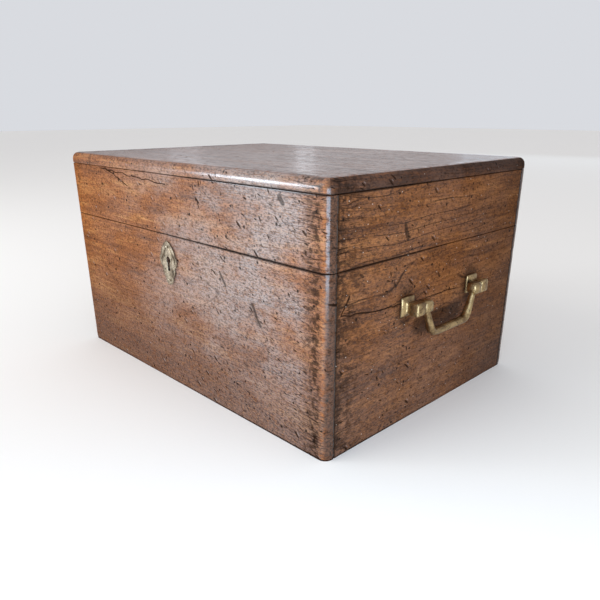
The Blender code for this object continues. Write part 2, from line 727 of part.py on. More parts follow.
def bail_path():
    """The bail's centre line from knuckle to knuckle, as (y, z) points about its pivot."""
    knuckle = POST_SPREAD - POST_HEAD - LID_GAP - KNUCKLE_SIDE / 2
    lean = math.atan2(knuckle - BAIL_GRIP_HALF, BAIL_DROP)
    turn = math.pi / 2 - lean
    inset = BAIL_CORNER * math.tan(turn / 2)
    centre = (BAIL_GRIP_HALF - inset, -BAIL_DROP + BAIL_CORNER)
    bend = arc(centre, BAIL_CORNER, -90, -90 + math.degrees(turn), 6)
    right = bend + [(knuckle, 0.0)]
    return [(-y, z) for y, z in reversed(right)] + right


def bail(name, side):
    """A bail whose grip is broader than its arms, with a faceted knuckle and a pin at each end."""
    pivot = Vector((side * (HALF_WIDTH + PIVOT_REACH), HANDLE_Y, HANDLE_Z))
    curve = bpy.data.curves.new(name, "CURVE")
    curve.dimensions = "3D"
    curve.bevel_depth = BAIL_ROD_RADIUS
    curve.bevel_resolution = 3
    curve.use_fill_caps = True
    points = bail_path()
    spline = curve.splines.new("POLY")
    spline.points.add(len(points) - 1)
    for point, (y, z) in zip(spline.points, points):
        point.co = (0.0, y, z, 1.0)
    helper = bpy.data.objects.new(f"{name}_rod", curve)
    CUTTERS.objects.link(helper)
    helper.matrix_world = Matrix.Translation(pivot)
    graph = bpy.context.evaluated_depsgraph_get()
    mesh = bpy.data.meshes.new_from_object(helper.evaluated_get(graph))
    bpy.data.objects.remove(helper)
    shape = bmesh.new()
    shape.from_mesh(mesh)
    bmesh.ops.remove_doubles(shape, verts=shape.verts, dist=0.000001)
    for vertex in shape.verts:
        share = min(max((-vertex.co.z / BAIL_DROP - 0.4) / 0.5, 0.0), 1.0)
        vertex.co.x *= 1 + (GRIP_BREADTH - 1) * share * share * (3 - 2 * share)
    shape.to_mesh(mesh)
    shape.free()
    shade_round(mesh)
    piece = add_object(name, mesh, BRASS, Matrix.Translation(pivot))
    half = KNUCKLE_SIDE / 2
    knuckle_y = POST_SPREAD - POST_HEAD - LID_GAP - half
    for hand, sign in (("front", -1), ("rear", 1)):
        centre = pivot + Vector((0, sign * knuckle_y, 0))
        corner = Vector((half, half, half))
        knuckle = box(f"{name}_{hand}_knuckle", centre - corner, centre + corner)
        chamfer(knuckle, KNUCKLE_CHAMFER)
        outer = centre + Vector((0, sign * (half + LID_GAP + BAIL_PIN_REACH), 0))
        join(piece, knuckle, rod(f"{name}_{hand}_pin", centre, outer, BAIL_PIN_RADIUS, sides=16))
    return piece


def handle(hand, side, board):
    """Both posts and the bail of the handle on one end."""
    for place, sign in (("front", -1), ("rear", 1)):
        y = HANDLE_Y + sign * POST_SPREAD
        handle_post(f"{hand}_handle_{place}_post", side, y, -sign, board)
    bail(f"{hand}_handle_bail", side)


def partitions(base_front, base_back):
    """Two partitions housed in the front and back boards."""
    high = BASE_HEIGHT - PARTITION_BELOW_EDGE
    for hand, sign in (("left", -1), ("right", 1)):
        x_low, x_high = sorted((sign * PARTITION_X, sign * (PARTITION_X + PARTITION_THICKNESS)))
        reach = INNER_Y + PARTITION_GROOVE
        groove = box(
            f"{hand}_partition_groove",
            (x_low - GAP, -reach, FLOOR_Z - GAP),
            (x_high + GAP, reach, high + GAP),
        )
        cut(base_front, groove)
        cut(base_back, groove)
        end = reach - GAP
        box(f"{hand}_partition", (x_low, -end, FLOOR_Z), (x_high, end, high), PALE_WOOD)


def canister(hand, sign):
    """A lift-out tea box, its lid with a plug that fits the mouth, and the lid's turned knob."""
    x_low, x_high = sorted(
        (sign * (PARTITION_X + PARTITION_THICKNESS + LIFT_GAP), sign * (INNER_X - LIFT_GAP))
    )
    y_high = INNER_Y - LIFT_GAP
    top = BASE_HEIGHT - CANISTER_BELOW_EDGE
    name = f"{hand}_canister"
    body = box(name, (x_low, -y_high, FLOOR_Z), (x_high, y_high, top), PALE_WOOD)
    inner = CANISTER_WALL
    hollow = box(
        f"{name}_hollow",
        (x_low + inner, -y_high + inner, FLOOR_Z + inner),
        (x_high - inner, y_high - inner, top + inner),
    )
    cut(body, hollow)
    lid_low = top + GAP
    lid_high = lid_low + CANISTER_LID
    lid = box(f"{name}_lid", (x_low, -y_high, lid_low), (x_high, y_high, lid_high), DARK_WALNUT)
    inner += LID_GAP
    plug = box(
        f"{name}_plug",
        (x_low + inner, -y_high + inner, lid_low - CANISTER_PLUG),
        (x_high - inner, y_high - inner, lid_low + CANISTER_LID / 2),
    )
    join(lid, plug)
    middle = (x_low + x_high) / 2
    foot = lid_high + GAP
    radius = KNOB_RADIUS
    ball = [
        (radius * math.sin(turn), KNOB_HEIGHT - radius * 0.8 + radius * 0.8 * math.cos(turn))
        for turn in (math.radians(step) for step in range(0, 141, 20))
    ]
    stem = [
        (radius * 0.42, KNOB_HEIGHT * 0.2),
        (radius * 0.8, KNOB_HEIGHT * 0.08),
        (radius * 0.8, 0.0),
        (KNOB_SPIGOT, 0.0),
        (KNOB_SPIGOT, -CANISTER_LID - CANISTER_PLUG),
        (0.0, -CANISTER_LID - CANISTER_PLUG),
    ]
    turned(f"{name}_knob", ball + stem, Matrix.Translation((middle, 0, foot)), DARK_WALNUT)
    hole_ends = ((middle, 0, lid_low - 2 * CANISTER_PLUG), (middle, 0, foot + KNOB_HEIGHT))
    cut(lid, rod(f"{name}_knob_hole", *hole_ends, KNOB_SPIGOT + GAP))


def bowl_bay():
    """The pierced board over the middle bay, its two ledges, and the glass bowl that hangs in it."""
    reach_x = PARTITION_X - LID_GAP
    reach_y = INNER_Y - GAP
    board = box(
        "bowl_board", (-reach_x, -reach_y, BOARD_Z), (reach_x, reach_y, BOARD_Z + BOARD_THICKNESS), DARK_WALNUT
    )
    hole_ends = ((0, 0, BOARD_Z - BOARD_THICKNESS), (0, 0, BOARD_Z + 2 * BOARD_THICKNESS))
    cut(board, rod("bowl_hole", *hole_ends, BOWL_RADIUS + LIFT_GAP, sides=BOWL_SIDES))
    for hand, sign in (("front", -1), ("back", 1)):
        y_low, y_high = sorted((sign * reach_y, sign * (reach_y - LEDGE)))
        low = BOARD_Z - GAP - LEDGE
        box(f"{hand}_ledge", (-reach_x, y_low, low), (reach_x, y_high, low + LEDGE), PALE_WOOD)
    bottom = BOWL_Z - BOWL_DEPTH
    curve = [i / 7 for i in range(8)]
    outer = [
        (BOWL_FOOT_RADIUS + (BOWL_RADIUS - BOWL_FOOT_RADIUS) * math.cos(math.pi / 2 * t) ** 0.6,
         BOWL_Z - BOWL_DEPTH * math.sin(math.pi / 2 * t))
        for t in curve
    ]
    inner = [
        (max(radius - BOWL_WALL, 0.0), bottom + BOWL_WALL + (height - bottom) * (1 - BOWL_WALL / BOWL_DEPTH))
        for radius, height in reversed(outer)
    ]
    lip_top = BOWL_Z + BOWL_WALL
    lip = [(BOWL_RADIUS - BOWL_WALL, lip_top), (BOWL_RADIUS + BOWL_LIP, lip_top), (BOWL_RADIUS + BOWL_LIP, BOWL_Z)]
    profile = [(0.0, inner[0][1])] + inner[:-1] + lip + outer + [(0.0, bottom)]
    turned("mixing_bowl", profile, Matrix.Identity(4), GLASS, BOWL_SIDES)


def main():
    """Builds the caddy."""
    base_front, base_back, base_right, base_left = base_case()
    lid_front, lid_back = lid_case()
    partitions(base_front, base_back)
    lock_recesses(base_front)
    lock_plate(base_front)
    lock_works()
    link_plate(lid_front)
    escutcheon(base_front)
    hinges(base_back, lid_back)
    handle("right", 1, base_right)
    handle("left", -1, base_left)
    canister("left", -1)
    canister("right", 1)
    bowl_bay()


main()
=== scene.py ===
"""The looks of a walnut tea caddy, with cast brass fittings, two canisters and a cut-glass bowl."""

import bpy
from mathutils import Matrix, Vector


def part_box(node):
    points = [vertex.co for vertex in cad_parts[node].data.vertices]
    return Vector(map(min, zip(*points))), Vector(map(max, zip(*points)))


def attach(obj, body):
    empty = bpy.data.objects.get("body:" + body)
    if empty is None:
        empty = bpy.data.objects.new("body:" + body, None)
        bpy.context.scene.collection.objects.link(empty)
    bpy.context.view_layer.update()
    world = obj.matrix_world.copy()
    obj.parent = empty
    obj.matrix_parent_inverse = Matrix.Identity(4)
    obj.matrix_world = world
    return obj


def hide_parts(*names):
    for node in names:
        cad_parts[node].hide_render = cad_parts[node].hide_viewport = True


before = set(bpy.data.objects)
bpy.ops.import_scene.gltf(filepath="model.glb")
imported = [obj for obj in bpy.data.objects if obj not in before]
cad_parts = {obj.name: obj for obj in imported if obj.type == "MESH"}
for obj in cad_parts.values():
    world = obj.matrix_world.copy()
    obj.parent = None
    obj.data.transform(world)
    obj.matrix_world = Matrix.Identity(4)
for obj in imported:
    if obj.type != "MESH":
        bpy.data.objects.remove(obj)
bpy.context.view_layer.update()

import logging
import math
from collections.abc import Callable, Sequence
from dataclasses import dataclass
from enum import Enum
from functools import cache

import bmesh
import bpy
from mathutils import Matrix, Vector, noise

log = logging.getLogger("caddy")

MM = 0.001
RIGHT_ANGLE = math.pi / 2
SEED = 7
SHARP_ANGLE = 50.0
UNTURNED = (0.0, 0.0, 0.0)

Colour = tuple[float, float, float]
Triple = tuple[float, float, float]


def paint(red: int, green: int, blue: int) -> Colour:
    """Turn the 0 to 255 values of a paint chart into a linear colour.

    Args:
        red: Red on the chart.
        green: Green on the chart.
        blue: Blue on the chart.

    Returns:
        The linear colour.
    """
    return tuple(((part / 255 + 0.055) / 1.055) ** 2.4 for part in (red, green, blue))


# ---------------------------------------------------------------- node graphs


class Value:
    """One output of a node, with arithmetic that adds Math nodes."""

    def __init__(self, graph: "Graph", socket: bpy.types.NodeSocket) -> None:
        """Wrap a socket of a graph."""
        self.graph = graph
        self.socket = socket

    def _math(self, operation: str, *terms: "Value | float") -> "Value":
        """Add a Math node on these terms."""
        return self.graph.node("ShaderNodeMath", {"operation": operation}, dict(enumerate(terms)))

    def __add__(self, other: "Value | float") -> "Value":
        """Sum."""
        return self._math("ADD", self, other)

    def __radd__(self, other: float) -> "Value":
        """Sum, with the number first."""
        return self._math("ADD", other, self)

    def __sub__(self, other: "Value | float") -> "Value":
        """Difference."""
        return self._math("SUBTRACT", self, other)

    def __rsub__(self, other: float) -> "Value":
        """Difference, with the number first."""
        return self._math("SUBTRACT", other, self)

    def __mul__(self, other: "Value | float") -> "Value":
        """Product."""
        return self._math("MULTIPLY", self, other)

    def __rmul__(self, other: float) -> "Value":
        """Product, with the number first."""
        return self._math("MULTIPLY", other, self)

    def __truediv__(self, other: "Value | float") -> "Value":
        """Quotient."""
        return self._math("DIVIDE", self, other)

    def __abs__(self) -> "Value":
        """Size without sign."""
        return self._math("ABSOLUTE", self)

    def sine(self) -> "Value":
        """Sine."""
        return self._math("SINE", self)

    def root(self) -> "Value":
        """Square root."""
        return self._math("SQRT", self)

    def least(self, other: "Value | float") -> "Value":
        """The smaller of two values."""
        return self._math("MINIMUM", self, other)

    def most(self, other: "Value | float") -> "Value":
        """The larger of two values."""
        return self._math("MAXIMUM", self, other)

    def fade(self, low: float, high: float, start: float = 0.0, end: float = 1.0) -> "Value":
        """Ease from one level to another.

        Args:
            low: Where the change begins.
            high: Where the change is complete.
            start: The level before low.
            end: The level after high.

        Returns:
            The eased value.
        """
        return self.graph.node(
            "ShaderNodeMapRange",
            {"interpolation_type": "SMOOTHSTEP"},
            {"Value": self, "From Min": low, "From Max": high, "To Min": start, "To Max": end},
        )


class Graph:
    """A node tree with one way of adding any node."""

    def __init__(self, tree: bpy.types.NodeTree) -> None:
        """Start on an empty tree."""
        self.tree = tree
        self.tree.nodes.clear()

    def node(
        self, kind: str, settings: dict | None = None, inputs: dict | None = None, output: int | str = 0
    ) -> Value:
        """Add a node.

        Args:
            kind: The node's type.
            settings: Its own settings; "stops" fills a colour ramp.
            inputs: Numbers, colours or links by socket name or number.
            output: The output that is returned.

        Returns:
            The chosen output.
        """
        made = self.tree.nodes.new(kind)
        for key, setting in (settings or {}).items():
            if key == "stops":
                self._fill_ramp(made.color_ramp, setting)
            else:
                setattr(made, key, setting)
        for key, value in (inputs or {}).items():
            socket = made.inputs[key]
            if isinstance(value, Value):
                self.tree.links.new(value.socket, socket)
            elif socket.type == "RGBA":
                socket.default_value = (*value, 1.0)
            else:
                socket.default_value = value
        return Value(self, made.outputs[output]) if len(made.outputs) else Value(self, None)

    def _fill_ramp(self, ramp: bpy.types.ColorRamp, stops: Sequence[tuple[float, Colour]]) -> None:
        """Set a colour ramp's stops.

        Args:
            ramp: The ramp.
            stops: Its stops, each a place and a colour.
        """
        while len(ramp.elements) < len(stops):
            ramp.elements.new(1.0)
        for element, (place, colour) in zip(ramp.elements, stops):
            element.position = place
            element.color = (*colour, 1.0)


class Shade(Graph):
    """The node tree of one material."""

    def __init__(self, name: str) -> None:
        """Make an empty material.

        Args:
            name: The material's name.
        """
        self.material = bpy.data.materials.new(name)
        self.material.use_nodes = True
        self.flat = "3D"
        super().__init__(self.material.node_tree)
        self.place = self.node("ShaderNodeTexCoord", output="Object")
        split = self.node("ShaderNodeSeparateXYZ", inputs={0: self.place})
        self.x, self.y, self.z = (Value(self, socket) for socket in split.socket.node.outputs)

    def cells(self, size: Triple, turn: Triple = (0.0, 0.0, 0.0), shift: float = 0.0) -> Value:
        """Measure the piece in cells of a given size, laid at an angle.

        Args:
            size: The cell's sides in metres.
            turn: Its rotation.
            shift: A slide along every axis, so that two patterns differ.

        Returns:
            The coordinate in cells.
        """
        return self.node(
            "ShaderNodeMapping",
            {"vector_type": "TEXTURE"},
            {"Vector": self.place, "Location": (shift, shift, shift), "Rotation": turn, "Scale": size},
        )

    def noise(self, where: Value, detail: float = 2.0, roughness: float = 0.5, warp: float = 0.0) -> Value:
        """Smooth noise, one lump to a cell.

        Args:
            where: The coordinate in cells.
            detail: Octaves of finer noise.
            roughness: How strong the finer octaves are.
            warp: How far the noise bends itself.

        Returns:
            Noise about a half.
        """
        return self.node(
            "ShaderNodeTexNoise",
            inputs={
                "Vector": where, "Scale": 1.0, "Detail": detail,
                "Roughness": roughness, "Distortion": warp,
            },
        )

    def spots(self, where: Value, radius: float, share: float, softness: float = 0.45) -> Value:
        """Spots in a share of the cells.

        Args:
            where: The coordinate in cells.
            radius: Spot radius in cells.
            share: How many of the cells hold a spot.
            softness: The share of the radius over which the spot fades.

        Returns:
            One inside a spot and zero outside.
        """
        distance = self.node(
            "ShaderNodeTexVoronoi", {"voronoi_dimensions": self.flat}, {"Vector": where, "Scale": 1.0}
        )
        tint = Value(self, distance.socket.node.outputs["Color"])
        pick = self.node("ShaderNodeSeparateColor", inputs={0: tint})
        spread = Value(self, pick.socket.node.outputs[1])
        reach = distance / (0.6 + 0.4 * spread)
        return reach.fade(radius * (1 - softness), radius, 1.0, 0.0) * pick.fade(1 - share, 1.005 - share)

    def ragged(self, where: Value, amount: float) -> Value:
        """Bend a coordinate in cells, so that spots on it lose their even shape.

        Args:
            where: The coordinate in cells.
            amount: How far it is bent, in cells.

        Returns:
            The bent coordinate.
        """
        bend = self.node(
            "ShaderNodeTexNoise", inputs={"Vector": where, "Scale": 2.3, "Detail": 2.0}, output="Color"
        )
        pull = self.node("ShaderNodeVectorMath", {"operation": "SCALE"}, {0: bend, "Scale": amount})
        return self.node("ShaderNodeVectorMath", {"operation": "ADD"}, {0: where, 1: pull})

    def contours(self, where: Value, width: float, detail: float = 0.0) -> Value:
        """Thin lines along one level of a noise."""
        return abs(self.noise(where, detail) - 0.5).fade(width * 0.3, width, 1.0, 0.0)

    def stroke(
        self, across: Value, up: Value, start: Sequence[float], end: Sequence[float], width: float
    ) -> Value:
        """A straight mark between two points.

        Args:
            across: The face's own sideways coordinate.
            up: The face's own upward coordinate.
            start: Where the mark begins, in millimetres.
            end: Where it ends, in millimetres.
            width: Half its width in millimetres.

        Returns:
            One on the mark and zero off it.
        """
        run = (end[0] - start[0]) * MM
        rise = (end[1] - start[1]) * MM
        from_start = across - start[0] * MM
        above_start = up - start[1] * MM
        along = ((from_start * run + above_start * rise) / (run * run + rise * rise)).most(0.0).least(1.0)
        side = from_start - along * run
        over = above_start - along * rise
        return (side * side + over * over).root().fade(width * 0.4 * MM, width * MM, 1.0, 0.0)

    def blend(self, amount: Value | float, under: Value | Colour, over: Value | Colour) -> Value:
        """Lay one colour over another."""
        return self.node("ShaderNodeMix", {"data_type": "RGBA"}, {0: amount, 6: under, 7: over}, output=2)

    def ramp(self, amount: Value, stops: Sequence[tuple[float, Colour]]) -> Value:
        """Pick a colour from a ramp."""
        return self.node("ShaderNodeValToRGB", {"stops": stops}, {0: amount})

    def bump(self, height: Value) -> Value:
        """Turn a height in millimetres into a normal."""
        return self.node("ShaderNodeBump", inputs={"Strength": 1.0, "Distance": MM, "Height": height})

    def surface(self, inputs: dict) -> bpy.types.Material:
        """Finish the material with its surface shader.

        Args:
            inputs: What feeds the shader, by socket name.

        Returns:
            The finished material.
        """
        shader = self.node("ShaderNodeBsdfPrincipled", inputs=inputs)
        self.node("ShaderNodeOutputMaterial", inputs={"Surface": shader})
        return self.material


# ---------------------------------------------------------------- finishes


class Side(Enum):
    """The way that a board's show face looks."""

    FRONT = "front"
    BACK = "back"
    END = "end"
    TOP = "top"


@dataclass(frozen=True)
class Stroke:
    """A crack, bruise, stain or patch of painted shade on a face, between two points in millimetres, with half
    its width.
    """

    start: tuple[float, float]
    end: tuple[float, float]
    width: float


@dataclass(frozen=True)
class Pattern:
    """A pattern laid along a face: its cells in millimetres, their slope and a slide along every axis."""

    length: float
    width: float
    angle: float = 0.0
    shift: float = 0.0


@dataclass(frozen=True)
class Grain(Pattern):
    """Soft noise, one lump to a cell."""

    detail: float = 3.0
    roughness: float = 0.6
    warp: float = 0.0


@dataclass(frozen=True)
class Flaws(Pattern):
    """Spots in some of the cells, with their radius in cells and how ragged and soft they are."""

    radius: float = 0.2
    ragged: float = 0.0
    softness: float = 0.45


@dataclass(frozen=True)
class Hairlines(Pattern):
    """Thin wandering lines."""

    thickness: float = 0.004


FIGURE = Grain(110, 17, detail=4.0, roughness=0.55, warp=0.7)
STREAK = Grain(46, 2.6, shift=0.8, warp=0.5)
FIBRE = Grain(14, 0.8, shift=0.1, roughness=0.65)
CLOUD = Grain(55, 34, shift=0.2)
MOTTLE = Grain(6, 5, shift=0.4, detail=4.0, roughness=0.7)
GRIT = Grain(2.2, 1.2, shift=0.5, roughness=0.7)
SCURF = Grain(4.4, 1.9, 0.25, 3.5, roughness=0.75)
RINGS = Grain(80, 50, 0.2, 2.1, detail=0.0, roughness=0.5)
PORES = Flaws(4.6, 1.05, shift=0.6, radius=0.4)
FLECKS = Flaws(4.2, 2.6, 0.5, 0.9, radius=0.34, ragged=0.9)
NICKS = Flaws(22, 5.2, 0.72, 1.1, ragged=0.22)
# Painted highlights: pale glints laid at the edges of some nicks.
NICK_PAINTED_HIGHLIGHTS = Flaws(22, 5.2, 0.72, 1.1012, radius=0.1, ragged=0.22)
STEEP_NICKS = Flaws(13, 4.0, 1.2, 2.9, ragged=0.3)
SLIGHT_NICKS = Flaws(12, 3.4, 0.3, 1.7, ragged=0.3)
SMUDGES = Flaws(30, 22, 0.9, 4.1, ragged=0.5, softness=0.8)
WORMHOLES = Flaws(15, 15, 0.3, 1.3, radius=0.08, softness=0.25)
DUST = Flaws(10, 10, 0.2, 2.3, radius=0.05)
SCRATCHES = Hairlines(420, 22, 0.62, 1.5)
SCUFFS = Hairlines(300, 16, -0.5, 1.9, 0.0035)
CHECKS = Hairlines(34, 2.4, 0.05, 5.2, 0.02)


@dataclass(frozen=True)
class Walnut:
    """Old polished walnut on a show face, with the marks of long use, painted shade and a painted sheen."""

    name: str
    side: Side
    deep: Colour
    middle: Colour
    pale: Colour
    # Painted sheen: a pale reflection of the window light painted into the colour, also the tone of the
    # painted highlights on nicks.
    painted_sheen: Colour
    painted_sheen_amount: float
    half: float
    low: float
    high: float
    pore_share: float = 0.5
    fleck_share: float = 0.3
    nick_share: float = 0.07
    hole_share: float = 0.5
    dust_share: float = 0.0
    figure_lines: float = 0.0
    shade_far: float = 0.0
    roughness: float = 0.42
    least_roughness: float = 0.15
    coat: float = 0.35
    gloss: float = 0.2
    specular: float = 0.0
    bloom: float = 0.6
    scratched: float = 0.35
    dusk: float = 0.4
    speckle: float = 0.5
    cracks: tuple[Stroke, ...] = ()
    bruises_and_shade: tuple[Stroke, ...] = ()
    stains_and_shadows: tuple[Stroke, ...] = ()
    # The dark colour of dirt, also used for painted shade: along the seams, beside the upright corner, towards
    # the far end, in the keyhole and under the handle.
    dirt: Colour = paint(34, 22, 15)
    soot: Colour = paint(62, 46, 40)
    dust: Colour = paint(205, 190, 175)
    shadow: Colour = paint(92, 76, 70)
    worn: Colour = paint(170, 98, 50)
    end_grain: Colour = paint(98, 62, 42)

    def material(self) -> bpy.types.Material:
        """Build the finish."""
        return WalnutFace(self).material()


class WalnutFace:
    """The patterns laid over one walnut face, which its colour, relief and gloss share."""

    front_skin = 120.5 * MM
    end_skin = 168 * MM
    skin_fade = (0.8 * MM, 0.5 * MM)
    corner_turn = (163.5 * MM, 166.8 * MM)
    corner_joint = 8.9 * MM
    board_back = (112.4 * MM, 114.2 * MM)
    crack_wander = 5.0
    bruise_and_shade_wander = 3.0
    stain_and_shadow_wander = 6.0
    ring_swing = 20.0
    ring_pitch = 360.0

    def __init__(self, finish: Walnut) -> None:
        """Lay the patterns.

        Args:
            finish: The finish of the face.
        """
        self.finish = finish
        shade = self.shade = Shade(finish.name)
        shade.flat = "2D"
        axes = {Side.END: (shade.y, shade.z), Side.TOP: (shade.x, shade.y)}
        self.across, self.up = axes.get(finish.side, (shade.x, shade.z))
        self.figure, self.streak, self.fibre, self.cloud, self.mottle, self.grit, self.scurf = (
            self._grain(grain) for grain in (FIGURE, STREAK, FIBRE, CLOUD, MOTTLE, GRIT, SCURF)
        )
        self.edge = finish.half - abs(self.across)
        self.rim = self.edge.least(finish.high - abs(self.up)) if finish.side is Side.TOP else self.edge
        ends = (-60 * MM, 150 * MM) if finish.side is Side.FRONT else (60 * MM, -120 * MM)
        self.near = self.across.fade(*ends)
        self.pores = self._flaws(PORES, finish.pore_share)
        self.flecks = self._flaws(FLECKS, finish.fleck_share)
        steep = self._flaws(STEEP_NICKS, finish.nick_share * 0.8)
        self.nicks = self._flaws(NICKS, finish.nick_share).most(steep)
        self.holes = self._flaws(WORMHOLES, finish.hole_share)
        self.scratches = self._hairlines(SCRATCHES)
        self.scuffs = self._hairlines(SCUFFS)
        self.bruises_and_shade = self._strokes(finish.bruises_and_shade, self.bruise_and_shade_wander)
        self.marks = self._marks()
        self.grime_and_shade = self._grime_and_shade()
        self.painted_sheen = self._painted_sheen()

    def _laid(self, pattern: Pattern) -> Value:
        """Lay a pattern's cells flat on the face.

        Args:
            pattern: The pattern.

        Returns:
            The coordinate in cells.
        """
        flat = {
            Side.END: (RIGHT_ANGLE, pattern.angle, RIGHT_ANGLE),
            Side.TOP: (0.0, 0.0, -pattern.angle),
        }
        turn = flat.get(self.finish.side, (RIGHT_ANGLE, pattern.angle, 0.0))
        size = (pattern.length * MM, pattern.width * MM, max(pattern.width, 5.0) * MM)
        return self.shade.cells(size, turn, pattern.shift)

    def _grain(self, grain: Grain) -> Value:
        """Lay soft noise."""
        return self.shade.noise(self._laid(grain), grain.detail, grain.roughness, grain.warp)

    def _hairlines(self, lines: Hairlines) -> Value:
        """Lay thin lines."""
        return self.shade.contours(self._laid(lines), lines.thickness)

    def _flaws(self, flaws: Flaws, share: float) -> Value:
        """Scatter flaws.

        Args:
            flaws: The kind of flaw.
            share: The share of its cells that hold one.

        Returns:
            One inside a flaw and zero outside.
        """
        where = self._laid(flaws)
        if flaws.ragged:
            where = self.shade.ragged(where, flaws.ragged)
        return self.shade.spots(where, flaws.radius, share, flaws.softness)

    def _strokes(self, strokes: tuple[Stroke, ...], wander: float) -> Value | float:
        """Draw strokes, bent by noise.

        Args:
            strokes: The strokes.
            wander: How far they bend, in millimetres.

        Returns:
            One on a stroke and zero off it.
        """
        if not strokes:
            return 0.0
        shade = self.shade
        bend = shade.noise(shade.cells((0.014, 0.014, 0.014), shift=0.3), 2.0) - 0.5
        drift = shade.noise(shade.cells((0.009, 0.009, 0.009), shift=0.7), 2.0) - 0.5
        across = self.across + drift * wander * MM
        up = self.up + bend * wander * MM
        first, *others = (
            shade.stroke(across, up, stroke.start, stroke.end, stroke.width) for stroke in strokes
        )
        for other in others:
            first = first.most(other)
        return first

    def _marks(self) -> Value:
        """Gather the nicks, the cracks and the fine drying checks near the corner.

        Returns:
            One on a mark and zero off it.
        """
        checks = self._hairlines(CHECKS) * self.edge.fade(12 * MM, 60 * MM, 1.0, 0.0)
        checks = checks * self.cloud.fade(0.42, 0.55) * self.near
        nicks = self.nicks.most(self._flaws(SLIGHT_NICKS, self.finish.nick_share))
        nicks = nicks * self.near.fade(0.0, 0.5, 0.35, 1.0)
        return nicks.most(self._strokes(self.finish.cracks, self.crack_wander)).most(checks)

    def _grime_and_shade(self) -> Value:
        """Gather the dirt in the joints and patches, the painted shade along the seams, and a darker band
        beside the upright corner, partly grime and partly a painted dark reflection.

        Returns:
            The share of dirt and painted shade.
        """
        side, edge, near, mottle = self.finish.side, self.edge, self.near, self.mottle
        if side is Side.TOP:
            # On the top: a darker patchy band within 7 mm of its edges.
            seam = self.rim.fade(1.5 * MM, 7 * MM, 0.3, 0.0) * mottle.fade(0.35, 0.6)
        else:
            # Painted shade along the split between lid and case, under the top board and along the foot,
            # patchy like grime and wider near the corner.
            border = (self.up - self.finish.low).least(self.finish.high - self.up) / (near * 0.65 + 0.35)
            patchy = (mottle.fade(0.34, 0.6) * 0.4 + near * 1.2).least(1.0)
            seam = border.fade(0.5 * MM, 1.2 * MM, 1.0, 0.0) * patchy
        # A darker mottled band beside the upright corner: partly grime, partly a painted dark reflection of
        # the rounding.
        band = edge.fade(5.5 * MM, 8 * MM) * edge.fade(10 * MM, 24 * MM, 1.0, 0.0)
        band = band * near.fade(0.4, 0.9, 0.1, 1.0) * (mottle * 0.6 + self.streak * 0.4).fade(0.44, 0.55)
        grime_and_shade = band.most(seam)
        if side is Side.END:
            joint = abs(edge - self.corner_joint).fade(0.5 * MM, 1.7 * MM, 1.0, 0.0)
            patches = edge.fade(10 * MM, 44 * MM, 0.85, 0.0) * mottle.fade(0.4, 0.58) * near
            grime_and_shade = grime_and_shade.most(joint * 0.9).most(patches)
        return grime_and_shade

    def _painted_sheen(self) -> Value:
        """Spread the painted sheen, a pale reflection of the window light laid into the colour; on the front
        it grows towards the near corner and the top.

        Returns:
            The share of painted sheen.
        """
        painted_sheen = self.cloud.fade(0.3, 0.62, 0.3, 1.0) * self.finish.painted_sheen_amount
        if self.finish.side is not Side.FRONT:
            return painted_sheen
        painted_sheen = painted_sheen * self.across.fade(-130 * MM, 90 * MM, 0.12, 1.0)
        painted_sheen = painted_sheen * self.edge.fade(8 * MM, 30 * MM, 0.25, 1.0)
        return painted_sheen * (self.up + (self.cloud - 0.5) * 0.08).fade(20 * MM, 100 * MM, 0.2, 1.0)

    def _rings(self) -> Value:
        """Draw the dark lines of the figure, strongest at the top of the near half.

        Returns:
            The strength of the lines.
        """
        wavy = self._grain(RINGS) * self.ring_swing + self.up * self.ring_pitch + (self.mottle - 0.5) * 0.4
        lines = abs(wavy.sine()).fade(0.02, 0.23, self.finish.figure_lines, 0.0)
        lines = lines * self.cloud.fade(0.4, 0.56, 0.1, 1.0) * self.up.fade(45 * MM, 110 * MM, 0.3, 1.0)
        return lines * self.across.fade(90 * MM, 20 * MM, 0.45, 1.0)

    def _wood(self) -> Value:
        """Mix the colour of the wood, a painted shadow that darkens it towards the bottom, and the painted
        sheen.

        Returns:
            The colour without wear or dirt.
        """
        shade, finish = self.shade, self.finish
        tone = self.figure * 0.4 + self.streak * 0.4 + self.fibre * 0.2
        colour = shade.ramp(tone, ((0.37, finish.deep), (0.5, finish.middle), (0.63, finish.pale)))
        if finish.side is not Side.TOP:
            # Painted shadow: the upright boards grow darker and greyer towards the bottom.
            lower = (self.up + (self.cloud - 0.5) * 0.06).fade(10 * MM, 118 * MM, finish.dusk, 0.0)
            colour = shade.blend(lower, colour, finish.shadow)
        # Painted reflection: the pale sheen of the window light laid over the wood.
        colour = shade.blend(self.painted_sheen, colour, finish.painted_sheen)
        if finish.figure_lines:
            colour = shade.blend(self._rings(), colour, finish.dirt)
        colour = shade.blend(self.fibre.fade(0.5, 0.66, 0.0, 0.6), colour, finish.deep)
        return shade.blend(self.mottle.fade(0.5, 0.66, 0.0, 0.5), colour, finish.deep)

    def _turned_grain(self) -> Value:
        """Mix the colour of the end grain at an upright corner.

        Returns:
            The colour.
        """
        shade, finish = self.shade, self.finish
        cut = shade.noise(shade.cells((0.004, 0.0016, 0.0012), shift=2.5), 3.0, 0.7)
        grain = shade.blend(cut.fade(0.35, 0.7), finish.end_grain, finish.dirt)
        grain = shade.blend(self.nicks, grain, finish.dirt)
        return shade.blend(abs(shade.y).fade(*self.board_back, 0.85, 0.0), grain, finish.dirt)

